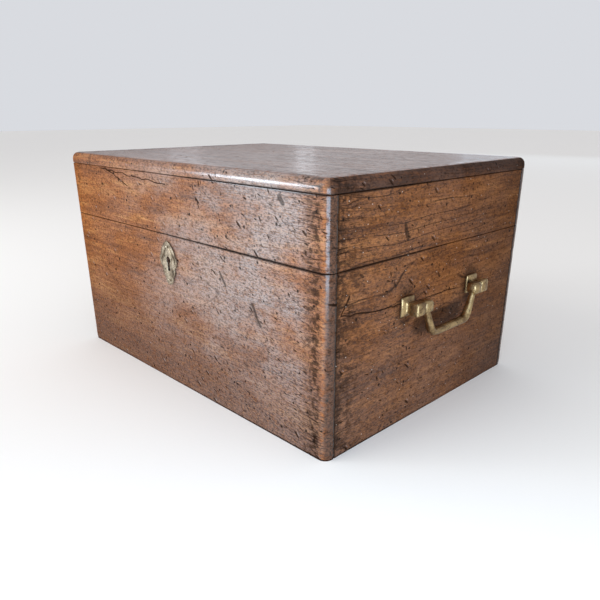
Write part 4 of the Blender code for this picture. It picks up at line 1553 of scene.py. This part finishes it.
        # Painted shade: the top board's end rims get darker copies of the end colours, as they face away from
        # the light.
        shaded_rim_tones = {
            "deep": paint(42, 24, 14), "middle": paint(74, 42, 22), "pale": paint(122, 72, 38), "dusk": 0.0,
        }
        shaded_rim_end = Walnut("shaded_rim_end_walnut", **{**end, **shaded_rim_tones, "figure_lines": 0.0}, **rim_span)
        lid_front = Walnut(
            "lid_front_walnut", **front, **lid_span, cracks=lid_crack, nick_share=0.12,
            bruises_and_shade=(Stroke((126.5, 172), (129, 168.5), 2.6),),
        )
        case_end = Walnut(
            "case_end_walnut", **end, **case_span, cracks=end_crack,
            # Dark patches around the handle posts and under the bail: partly grime, partly a painted shadow of
            # the handle.
            stains_and_shadows=(Stroke((-39.5, 88), (-39.5, 97), 14), Stroke((45.5, 88), (45.5, 97), 15),
                    Stroke((-22, 74), (28, 74), 11)),
            bruises_and_shade=(Stroke((-54, 113), (-52, 110.5), 1.5), Stroke((-1.5, 109.5), (1, 107), 1.4),
                     Stroke((-90, 125), (-88, 123.5), 1.3)),
        )
        lid_end = Walnut(
            "lid_end_walnut", **end, **lid_span, bruises_and_shade=(Stroke((-45.4, 150.8), (-41.5, 141.7), 2.4),),
        )
        back = {**front, "side": Side.BACK, "painted_sheen_amount": 0.1}
        case_back = Walnut("case_back_walnut", **back, **case_span)
        lid_back = Walnut("lid_back_walnut", **back, **lid_span)
        # The top's fourth colour, laid at 0.12, is its painted sheen: a painted reflection of the pale sky
        # behind.
        top = Walnut(
            "top_walnut", Side.TOP, paint(74, 40, 20), paint(122, 72, 38), paint(152, 98, 58),
            paint(160, 144, 146), 0.12, self.half_width, 0.0, self.half_depth, nick_share=0.03,
            hole_share=0.1, roughness=0.36, coat=0.6, speckle=0.3, specular=0.3,
        )
        far_end = Walnut("far_end_walnut", **{**end, "shade_far": 0.0}, **case_span)
        far_lid_end = Walnut("far_lid_end_walnut", **{**end, "shade_far": 0.0}, **lid_span)
        finishes = {
            "base_front": case_front, "base_back": case_back,
            "base_left_end": far_end, "base_right_end": case_end,
            "lid_front": lid_front, "lid_back": lid_back,
            "lid_left_end": far_lid_end, "lid_right_end": lid_end,
        }
        for node, finish in finishes.items():
            low_down = node.startswith("base")
            self.board(node, "case" if low_down else "lid", finish, "case_walnut", foot=low_down)
        self.board("lid_top", "lid", top, "top_walnut", top=True, rims=(rim_front, shaded_rim_end))


@dataclass
class Underside:
    """The pine bottom board with its cut nails."""

    worker: Worker
    beads: BeadRun
    sink: float = 0.45 * MM
    nail_radius: float = 1.7 * MM
    nail_inset: float = 5 * MM
    nail_count: int = 26
    nail_head: Triple = (1.0, 1.0, 0.22)
    nail_least: float = 0.8
    arris: float = 0.6 * MM

    def build(self) -> None:
        """Make the bottom board and its nails."""
        shape = merged_copy("base_bottom")
        soften(shape, self.arris)
        low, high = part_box("base_bottom")
        for vertex in shape.verts:
            if vertex.co.z < low.z + 0.1 * MM:
                vertex.co.z += self.sink
        self.worker.settle(shape, "bottom_board", "case", (UNDER_PINE,), "underside_wood", ("base_bottom",))
        path = ring_path(low, high, self.nail_inset, low.z + self.sink, 1.0 * MM)
        nails = self.beads.along(
            path, self.nail_count, self.nail_radius, self.nail_head, UNTURNED, self.nail_least, OLD_STEEL
        )
        self.worker.settle(nails, "bottom_nails", "case", (OLD_STEEL,), "steel")


@dataclass
class Lining:
    """Velvet inside the lid with a twisted braid round its edge."""

    worker: Worker
    beads: BeadRun
    braid_radius: float = 1.25 * MM
    strand_pitch: float = 2.3 * MM
    strand_shape: Triple = (1.7, 0.85, 0.85)
    strand_slant: Triple = (0.0, 0.0, 0.6)
    strand_least: float = 0.95
    braid_inset: float = 1.8 * MM
    braid_corner: float = 2 * MM
    arris: float = 0.5 * MM
    grid: float = 7 * MM
    skin: float = 0.6 * MM
    nap: float = 0.5 * MM
    nap_scale: float = 45.0

    def build(self) -> None:
        """Make the velvet panel and the braid."""
        shape = merged_copy("lid_lining")
        soften(shape, self.arris)
        low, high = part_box("lid_lining")
        for axis in (0, 1):
            long = high[axis] - low[axis]
            steps = round(long / self.grid)
            slice_up(shape, axis, [low[axis] + long * step / steps for step in range(1, steps)])
        for vertex in shape.verts:
            if vertex.co.z < low.z + self.skin:
                rise = 0.5 + 0.5 * noise.noise(vertex.co * self.nap_scale)
                vertex.co.z += self.nap * rise
        self.worker.settle(shape, "velvet_panel", "lid", (LID_VELVET,), "lining", ("lid_lining",))
        path = ring_path(low, high, self.braid_inset, low.z, self.braid_corner)
        count = round(2 * (high.x - low.x + high.y - low.y) / self.strand_pitch)
        braid = self.beads.along(
            path, count, self.braid_radius, self.strand_shape, self.strand_slant, self.strand_least,
            BRAID_SILK,
        )
        self.worker.settle(braid, "lid_braid", "lid", (BRAID_SILK,), "lining")


# ---------------------------------------------------------------- fittings


@dataclass
class Escutcheon:
    """The cast shield round the keyhole, with a beaded rim, leaf scrolls and two pins."""

    worker: Worker
    beads: BeadRun
    centre_x: float = -7 * MM
    centre_z: float = 107.7 * MM
    back: float = -120.8 * MM
    thickness: float = 1.0 * MM
    edge: float = 0.28 * MM
    rim_inset: float = 0.95 * MM
    rim_radius: float = 0.42 * MM
    rim_beads: int = 84
    keyhole_z: float = 110.0 * MM
    keyhole_radius: float = 3.1 * MM
    keyhole_slot: float = 2.0 * MM
    spread: tuple[float, float] = (0.92, 0.95)
    keyhole_foot: float = 100.8 * MM
    keyhole_steps: int = 20
    bead_least: float = 0.8
    sink: float = 0.05 * MM
    leaf: tuple[tuple[float, float], ...] = (
        (1.0, 12.6), (2.6, 11.6), (4.4, 9.4), (6.2, 6.8), (8.2, 4.6), (9.6, 2.4), (9.4, 0.4), (8.0, 0.2),
    )
    inner_leaf: tuple[tuple[float, float], ...] = (
        (3.4, 8.0), (4.6, 6.0), (5.0, 3.6), (4.4, 1.4), (3.9, -1.0),
    )
    foot_leaf: tuple[tuple[float, float], ...] = (
        (3.2, -11.6), (5.0, -9.6), (5.9, -7.4), (5.6, -5.6), (4.4, -5.2), (3.8, -6.4),
    )
    leaf_widths: tuple[float, float, float] = (0.75, 0.55, 0.6)
    half_outline: tuple[tuple[float, float], ...] = (
        (0.0, 17.8), (2.2, 16.8), (4.2, 15.2), (6.4, 13.0), (8.2, 10.8), (9.4, 8.2), (10.4, 5.8), (11.9, 3.6),
        (12.0, 0.8), (11.0, -1.5), (9.2, -2.9),
        (8.3, -4.4), (8.7, -6.4), (8.1, -8.8), (6.6, -10.8), (5.0, -12.0),
        (4.9, -14.0), (3.4, -16.6), (0.0, -17.8),
    )

    def _outline(self, shrink: float) -> list[tuple[float, float]]:
        """The shield's outline, drawn in by a distance in millimetres.

        Args:
            shrink: The distance.

        Returns:
            Its points about the centre of the shield.
        """
        half = self.half_outline
        whole = list(half) + [(-across, rise) for across, rise in reversed(half[1:-1])]
        whole = [(across * self.spread[0], rise * self.spread[1]) for across, rise in whole]
        smooth = smooth_loop(whole, 4)
        count = len(smooth)
        drawn = []
        for index, (across, rise) in enumerate(smooth):
            before, after = Vector(smooth[index - 1]), Vector(smooth[(index + 1) % count])
            along = (after - before).normalized()
            drawn.append((across + -along.y * shrink, rise + along.x * shrink))
        return drawn

    def _keyhole(self) -> list[tuple[float, float]]:
        """The keyhole's outline about the shield's centre, in millimetres.

        Returns:
            Its points.
        """
        head = (self.keyhole_z - self.centre_z) / MM
        foot = (self.keyhole_foot - self.centre_z) / MM
        radius, slot = self.keyhole_radius / MM, self.keyhole_slot / MM
        start = -math.acos(slot / radius)
        sweep = math.pi - 2 * start
        outline = [(slot, foot)]
        for step in range(self.keyhole_steps + 1):
            angle = start + sweep * step / self.keyhole_steps
            outline.append((radius * math.cos(angle), head + radius * math.sin(angle)))
        outline.append((-slot, foot))
        return outline

    def _set_up(self, mesh: bpy.types.Mesh, depth: float) -> bmesh.types.BMesh:
        """Stand a flat drawing against the front.

        Args:
            mesh: The drawing.
            depth: How far it stands out from the back of the shield.

        Returns:
            The drawing as a shape.
        """
        shape = bmesh.new()
        shape.from_mesh(mesh)
        bpy.data.meshes.remove(mesh)
        place = Matrix.Translation((self.centre_x, self.back - depth, self.centre_z))
        bmesh.ops.transform(shape, matrix=place @ Matrix.Rotation(RIGHT_ANGLE, 4, "X"), verts=shape.verts)
        return shape

    def _plate(self) -> bmesh.types.BMesh:
        """The shield's plate with its keyhole.

        Returns:
            The plate.
        """
        drawing = bpy.data.curves.new("shield", "CURVE")
        drawing.dimensions = "2D"
        drawing.fill_mode = "BOTH"
        drawing.extrude = self.thickness / 2 - self.edge
        drawing.bevel_depth = self.edge
        drawing.bevel_resolution = 2
        for outline in (self._outline(self.edge / MM), self._keyhole()):
            spline = drawing.splines.new("POLY")
            spline.points.add(len(outline) - 1)
            for point, (across, rise) in zip(spline.points, outline):
                point.co = (across * MM, rise * MM, 0.0, 1.0)
            spline.use_cyclic_u = True
        holder = bpy.data.objects.new("shield", drawing)
        mesh = bpy.data.meshes.new_from_object(holder)
        bpy.data.objects.remove(holder)
        return self._set_up(mesh, self.thickness / 2)

    def _scroll(
        self, mirror: float, points: Sequence[tuple[float, float]], width: float
    ) -> bmesh.types.BMesh:
        """A raised leaf, tapering to its tip.

        Args:
            mirror: The side of the shield it lies on.
            points: Its line about the centre of the shield, in millimetres.
            width: Half its width in millimetres.

        Returns:
            The leaf.
        """
        front = self.back - self.thickness
        line = [
            Vector((self.centre_x + mirror * across * MM, front + self.sink, self.centre_z + rise * MM))
            for across, rise in points
        ]
        last = len(points) - 1
        radii = [width * MM * math.sin(math.pi * (0.12 + 0.8 * index / last)) for index in range(last + 1)]
        return rope(line, radii, 6)

    def build(self) -> None:
        """Make the shield and its pins."""
        front = self.back - self.thickness
        shapes = [self._plate()]
        path = [
            Vector((self.centre_x + across * MM, front, self.centre_z + rise * MM))
            for across, rise in self._outline(self.rim_inset / MM)
        ]
        beads = self.beads.along(
            path, self.rim_beads, self.rim_radius, (1.0, 1.0, 1.0), UNTURNED, self.bead_least, SHIELD_BRASS
        )
        rim = bmesh.new()
        rim.from_mesh(beads)
        bpy.data.meshes.remove(beads)
        shapes.append(rim)
        for mirror in (-1.0, 1.0):
            for points, width in zip((self.leaf, self.inner_leaf, self.foot_leaf), self.leaf_widths):
                shapes.append(self._scroll(mirror, points, width))
        whole = joined(shapes)
        self.worker.settle(
            whole, "keyhole_shield", "case", (SHIELD_BRASS,), "escutcheon_brass", ("escutcheon",)
        )
        for node in ("escutcheon_pin_upper", "escutcheon_pin_lower"):
            self.worker.redress(node, SHIELD_BRASS)


@dataclass
class Handles:
    """The bail handles with their square posts and nuts."""

    worker: Worker
    post_edge: float = 0.35 * MM
    bail_edge: float = 0.5 * MM
    knuckle_drop: float = 9 * MM
    swell: float = 0.55 * MM
    swell_length: float = 6 * MM
    roughcast: float = 0.25
    roughcast_scale: float = 120.0
    smooth_angle: float = 50.0
    post_angle: float = 30.0

    def _bail(self, side: str) -> None:
        """Make a bail with its bar as stout as the casting.

        Args:
            side: The end of the case it hangs on.
        """
        node = f"{side}_handle_bail"
        shape = merged_copy(node)
        soften(shape, self.bail_edge)
        shape.normal_update()
        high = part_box(node)[1].z
        moves = [(vertex, vertex.normal.copy()) for vertex in shape.verts]
        for vertex, outward in moves:
            below = (high - self.knuckle_drop - vertex.co.z) / self.swell_length
            ease = min(max(below, 0.0), 1.0)
            cast = 1 + self.roughcast * noise.noise(vertex.co * self.roughcast_scale)
            vertex.co += outward * self.swell * ease * cast
        self.worker.settle(
            shape, f"{node}_finished", f"{side}_bail", (CAST_BRASS,), "handle_brass", (node,),
            self.smooth_angle,
        )

    def build(self) -> None:
        """Make both handles."""
        for side in ("left", "right"):
            for place in ("front", "rear"):
                node = f"{side}_handle_{place}_post"
                self.worker.softened(
                    node, "case", CAST_BRASS, "handle_brass", self.post_edge, self.post_angle
                )
                self.worker.redress(f"{node}_nut", DULL_BRASS)
            self._bail(side)


@dataclass
class HingesAndLock:
    """Butt hinges along the back and the box lock in the front."""

    worker: Worker
    leaf_edge: float = 0.2 * MM
    plate_edge: float = 0.25 * MM
    leaf_angle: float = 30.0

    def build(self) -> None:
        """Make the leaves and plates, and dress the small works."""
        for side in ("left", "right"):
            for part, body in (("base", "case"), ("lid", "lid")):
                leaf = f"{side}_hinge_{part}_leaf"
                self.worker.softened(leaf, body, DULL_BRASS, "brass", self.leaf_edge, self.leaf_angle)
                for hand in ("left", "right"):
                    self.worker.redress(f"{leaf}_screw_{hand}", OLD_STEEL)
            self.worker.redress(f"{side}_hinge_pin", OLD_STEEL)
        self.worker.softened("lock_plate", "case", DULL_BRASS, "brass", self.plate_edge)
        self.worker.softened("lock_link_plate", "lid", DULL_BRASS, "brass", self.plate_edge)
        for node in ("lock_cap", "lock_bolt", "lock_spring", "lock_screw_left", "lock_screw_right",
                     "link_screw_left", "link_screw_right"):
            self.worker.redress(node, OLD_STEEL)


# ---------------------------------------------------------------- inside


@dataclass
class Canister:
    """A foil-lined tea canister with its veneered lid and turned knob."""

    worker: Worker
    side: str
    wall: float = 5 * MM
    knob_sides: int = 48
    box_edge: float = 0.5 * MM
    lid_edge: float = 0.7 * MM
    foil_drop: float = 0.6 * MM
    knob_outline: tuple[tuple[float, float], ...] = (
        (0.0, 0.0), (0.62, 0.0), (0.66, 0.03), (0.66, 0.08), (0.5, 0.12), (0.36, 0.2), (0.32, 0.3),
        (0.4, 0.38), (0.52, 0.41), (0.53, 0.45), (0.46, 0.48), (0.62, 0.53), (0.86, 0.6), (0.98, 0.69),
        (1.0, 0.76), (0.95, 0.84), (0.8, 0.92), (0.55, 0.97), (0.34, 0.985), (0.3, 0.965), (0.22, 0.975),
        (0.0, 1.0),
    )

    def _knob(self, low: Vector, high: Vector) -> bmesh.types.BMesh:
        """The turned knob between two levels.

        Args:
            low: Its foot.
            high: Its tip.

        Returns:
            The knob.
        """
        tall = high.z - low.z
        broad = (high.x - low.x) / 2
        profile = [(reach * broad, rise * tall) for reach, rise in self.knob_outline]
        centre = Vector(((low.x + high.x) / 2, (low.y + high.y) / 2, low.z))
        return turned(profile, self.knob_sides, centre)

    def build(self) -> None:
        """Make the canister, its lid and its knob."""
        node = f"{self.side}_canister"
        low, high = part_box(node)
        centre = ((low.x + high.x) / 2, (low.y + high.y) / 2)
        half_size = ((high.x - low.x) / 2, (high.y - low.y) / 2)
        body_veneer = PlainWood(f"{self.side}_canister_wood", paint(88, 52, 32), paint(140, 92, 58),
                                (0.0, 0.0, RIGHT_ANGLE), coat=0.35, roughness=0.42)
        lid_veneer = Veneer(
            f"{self.side}_lid_veneer", paint(98, 58, 34), paint(158, 104, 64), centre, half_size
        )
        shape = merged_copy(node)
        soften(shape, self.box_edge)
        for face in shape.faces:
            middle = face.calc_center_median()
            deep = min(middle.x - low.x, high.x - middle.x, middle.y - low.y, high.y - middle.y)
            foiled = low.z + MM < middle.z < high.z - self.foil_drop
            face.material_index = int(foiled and deep > self.wall - 0.2 * MM)
        self.worker.settle(shape, f"{node}_box", node, (body_veneer, LEAD_FOIL), "inner_wood", (node,))
        lid = f"{self.side}_canister_lid"
        self.worker.softened(lid, lid, lid_veneer, "lid_veneer", self.lid_edge)
        knob = f"{self.side}_canister_knob"
        knob_low, knob_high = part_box(knob)
        plate_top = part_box(lid)[1].z
        foot = Vector((knob_low.x, knob_low.y, plate_top + 0.05 * MM))
        turning = self._knob(foot, knob_high)
        self.worker.settle(turning, f"{knob}_turned", lid, (TURNED_WOOD,), "knob_wood", (knob,))


@dataclass
class MixingBowl:
    """The cut-glass bowl between the canisters."""

    worker: Worker
    sides: int = 96
    flutes: int = 16
    flute_depth: float = 0.05
    wall: float = 2.6 * MM
    lip: float = 3.5 * MM
    foot_radius: float = 17 * MM
    foot_hollow: float = 0.6 * MM
    clearance: float = 0.15 * MM
    wall_steps: int = 22
    wall_curve: float = 1.7
    wall_swell: float = 0.8
    flute_top: float = 9 * MM
    flute_foot: float = 6 * MM
    smooth_angle: float = 50.0

    def build(self) -> None:
        """Make the bowl."""
        low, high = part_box("mixing_bowl")
        centre = Vector(((low.x + high.x) / 2, (low.y + high.y) / 2, 0.0))
        rim = (high.x - low.x) / 2
        body_radius = rim - self.lip
        tall = high.z - low.z
        outer, inner = [], []
        for step in range(self.wall_steps + 1):
            share = step / self.wall_steps
            rise = share ** self.wall_curve
            belly = math.sin(RIGHT_ANGLE * share) ** self.wall_swell
            reach = self.foot_radius + (body_radius - self.foot_radius) * belly
            outer.append((reach - self.clearance, low.z + rise * (tall - self.wall)))
            inner.append((reach - self.wall, low.z + self.wall + rise * (tall - self.wall)))
        hollow = low.z + self.foot_hollow
        profile = [
            (0.0, hollow), (self.foot_radius * 0.75, hollow), *outer,
            (rim - 0.5 * MM, high.z - self.wall), (rim, high.z - self.wall / 2), (rim - 0.6 * MM, high.z),
            (body_radius - 0.8 * MM, high.z), *reversed(inner[:-1]), (0.0, low.z + self.wall),
        ]
        upper = high.z - self.flute_top
        lower = low.z + self.flute_foot

        def flute(angle: float, radius: float, height: float) -> float:
            """Cut flutes into the middle of the bowl's wall.

            Args:
                angle: Where round the bowl.
                radius: How far from its axis.
                height: How high.

            Returns:
                The factor on the radius.
            """
            if not lower < height < upper:
                return 1.0
            ease = math.sin(math.pi * (height - lower) / (upper - lower))
            return 1.0 - self.flute_depth * ease * abs(math.sin(self.flutes * angle / 2)) ** 0.6

        shape = turned(profile, self.sides, centre, flute)
        self.worker.settle(
            shape, "cut_glass_bowl", "mixing_bowl", (CLEAR_GLASS,), "bowl_glass", ("mixing_bowl",),
            self.smooth_angle,
        )


@dataclass
class Fittings:
    """Partitions, ledges and the board that holds the bowl."""

    worker: Worker
    edge: float = 0.5 * MM

    def build(self) -> None:
        """Make the fixed fittings."""
        for node in ("left_partition", "right_partition", "front_ledge", "back_ledge"):
            self.worker.softened(node, "case", INNER_WALNUT, "inner_wood", self.edge)
        low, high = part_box("bowl_board")
        centre = ((low.x + high.x) / 2, (low.y + high.y) / 2)
        half_size = ((high.x - low.x) / 2, (high.y - low.y) / 2)
        veneer = Veneer("bowl_board_veneer", paint(92, 54, 32), paint(150, 98, 60), centre, half_size, 5.0)
        self.worker.softened("bowl_board", "case", veneer, "inner_wood", 0.4 * MM)


# ---------------------------------------------------------------- studio


@dataclass(frozen=True)
class SoftBox:
    """A soft light: where it hangs, what it faces, its size in metres, its power and its tone."""

    name: str
    place: Triple
    target: Triple
    size: tuple[float, float]
    power: float
    tone: Colour


MIDDLE = (0.0, 0.0, 0.09)
UPPER = (0.0, 0.0, 0.18)
SOFT_BOXES = (
    SoftBox("key", (-0.7, -1.6, 1.2), MIDDLE, (1.3, 1.1), 12.5, (1.0, 0.97, 0.92)),
    SoftBox("side_window", (-1.0, -1.13, 0.29), (0.1, -0.12, 0.17), (0.38, 0.3), 7.4, (0.78, 0.88, 1.0)),
    SoftBox("corner_strip", (0.455, -0.41, 0.1), (0.168, -0.12, 0.1), (0.3, 0.26), 2.6, (0.58, 0.78, 1.0)),
    SoftBox("far_blind", (-2.46, 2.44, 0.7), UPPER, (0.12, 1.1), 0.25, (0.86, 0.92, 1.0)),
    SoftBox("far_gap", (-2.9, 1.8, 0.7), UPPER, (0.2, 1.1), 0.2, (0.86, 0.9, 1.0)),
    SoftBox("far_sheet", (-0.8, 3.0, 0.66), UPPER, (1.5, 0.5), 1.7, (0.66, 0.84, 1.0)),
)


@dataclass
class Studio:
    """Floor, light and camera."""

    camera_place: Triple = (0.3949, -0.3623, 0.2202)
    azimuth: float = 45.46
    elevation: float = 21.37
    roll: float = -0.03
    lens: float = 34.632
    shift: tuple[float, float] = (-0.0093, 0.0645)
    floor_size: float = 8.0
    sky: Colour = (0.9, 0.92, 0.97)
    sky_strength: float = 0.77

    def _camera(self) -> None:
        """Set up the camera."""
        turn, tilt = math.radians(self.azimuth), math.radians(self.elevation)
        back = Vector((math.sin(turn) * math.cos(tilt), -math.cos(turn) * math.cos(tilt), math.sin(tilt)))
        data = bpy.data.cameras.new("camera")
        data.sensor_width = 36.0
        data.lens = self.lens
        data.shift_x, data.shift_y = self.shift
        data.clip_start, data.clip_end = 0.01, 60.0
        camera = bpy.data.objects.new("camera", data)
        bpy.context.scene.collection.objects.link(camera)
        aim = (-back).to_track_quat("-Z", "Y").to_matrix() @ Matrix.Rotation(math.radians(self.roll), 3, "Z")
        camera.matrix_world = Matrix.Translation(self.camera_place) @ aim.to_4x4()
        bpy.context.scene.camera = camera

    def _soft_light(self, box: SoftBox) -> None:
        """Hang a soft light that the camera doesn't see.

        Args:
            box: The light.
        """
        data = bpy.data.lights.new(box.name, "AREA")
        data.shape = "RECTANGLE"
        data.size, data.size_y = box.size
        data.energy = box.power
        data.color = box.tone
        light = bpy.data.objects.new(box.name, data)
        bpy.context.scene.collection.objects.link(light)
        aim = (Vector(box.target) - Vector(box.place)).to_track_quat("-Z", "Y")
        light.matrix_world = Matrix.Translation(box.place) @ aim.to_matrix().to_4x4()
        light.visible_camera = False

    def _floor(self) -> None:
        """Lay the pale floor."""
        half = self.floor_size
        shape = bmesh.new()
        corners = ((-half, -half), (half, -half), (half, half), (-half, half))
        shape.faces.new([shape.verts.new((x, y, 0.0)) for x, y in corners])
        mesh = bpy.data.meshes.new("floor")
        shape.to_mesh(mesh)
        shape.free()
        mesh.materials.append(dressed(Felt("floor_paper", paint(254, 250, 244))))
        floor = bpy.data.objects.new("floor", mesh)
        bpy.context.scene.collection.objects.link(floor)

    def build(self) -> None:
        """Set up the studio."""
        world = bpy.data.worlds.new("room")
        world.use_nodes = True
        graph = Graph(world.node_tree)
        sky = graph.node("ShaderNodeBackground", inputs={"Color": self.sky, "Strength": self.sky_strength})
        graph.node("ShaderNodeOutputWorld", inputs={"Surface": sky})
        bpy.context.scene.world = world
        bpy.context.scene.view_settings.view_transform = "Standard"
        for box in SOFT_BOXES:
            self._soft_light(box)
        self._floor()
        self._camera()
        log.info("studio: floor, soft lights and camera")


# ---------------------------------------------------------------- assembly


def main() -> None:
    """Build and dress the caddy."""
    logging.basicConfig(level=logging.INFO, format="%(name)s: %(message)s")
    worker = Worker()
    beads = BeadRun()
    Studio().build()
    Boards(worker).build()
    Underside(worker, beads).build()
    Lining(worker, beads).build()
    Escutcheon(worker, beads).build()
    Handles(worker).build()
    HingesAndLock(worker).build()
    for side in ("left", "right"):
        Canister(worker, side).build()
    MixingBowl(worker).build()
    Fittings(worker).build()
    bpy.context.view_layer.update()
    log.info("%d pieces built", worker.count)


if __name__ == "__main__":
    main()
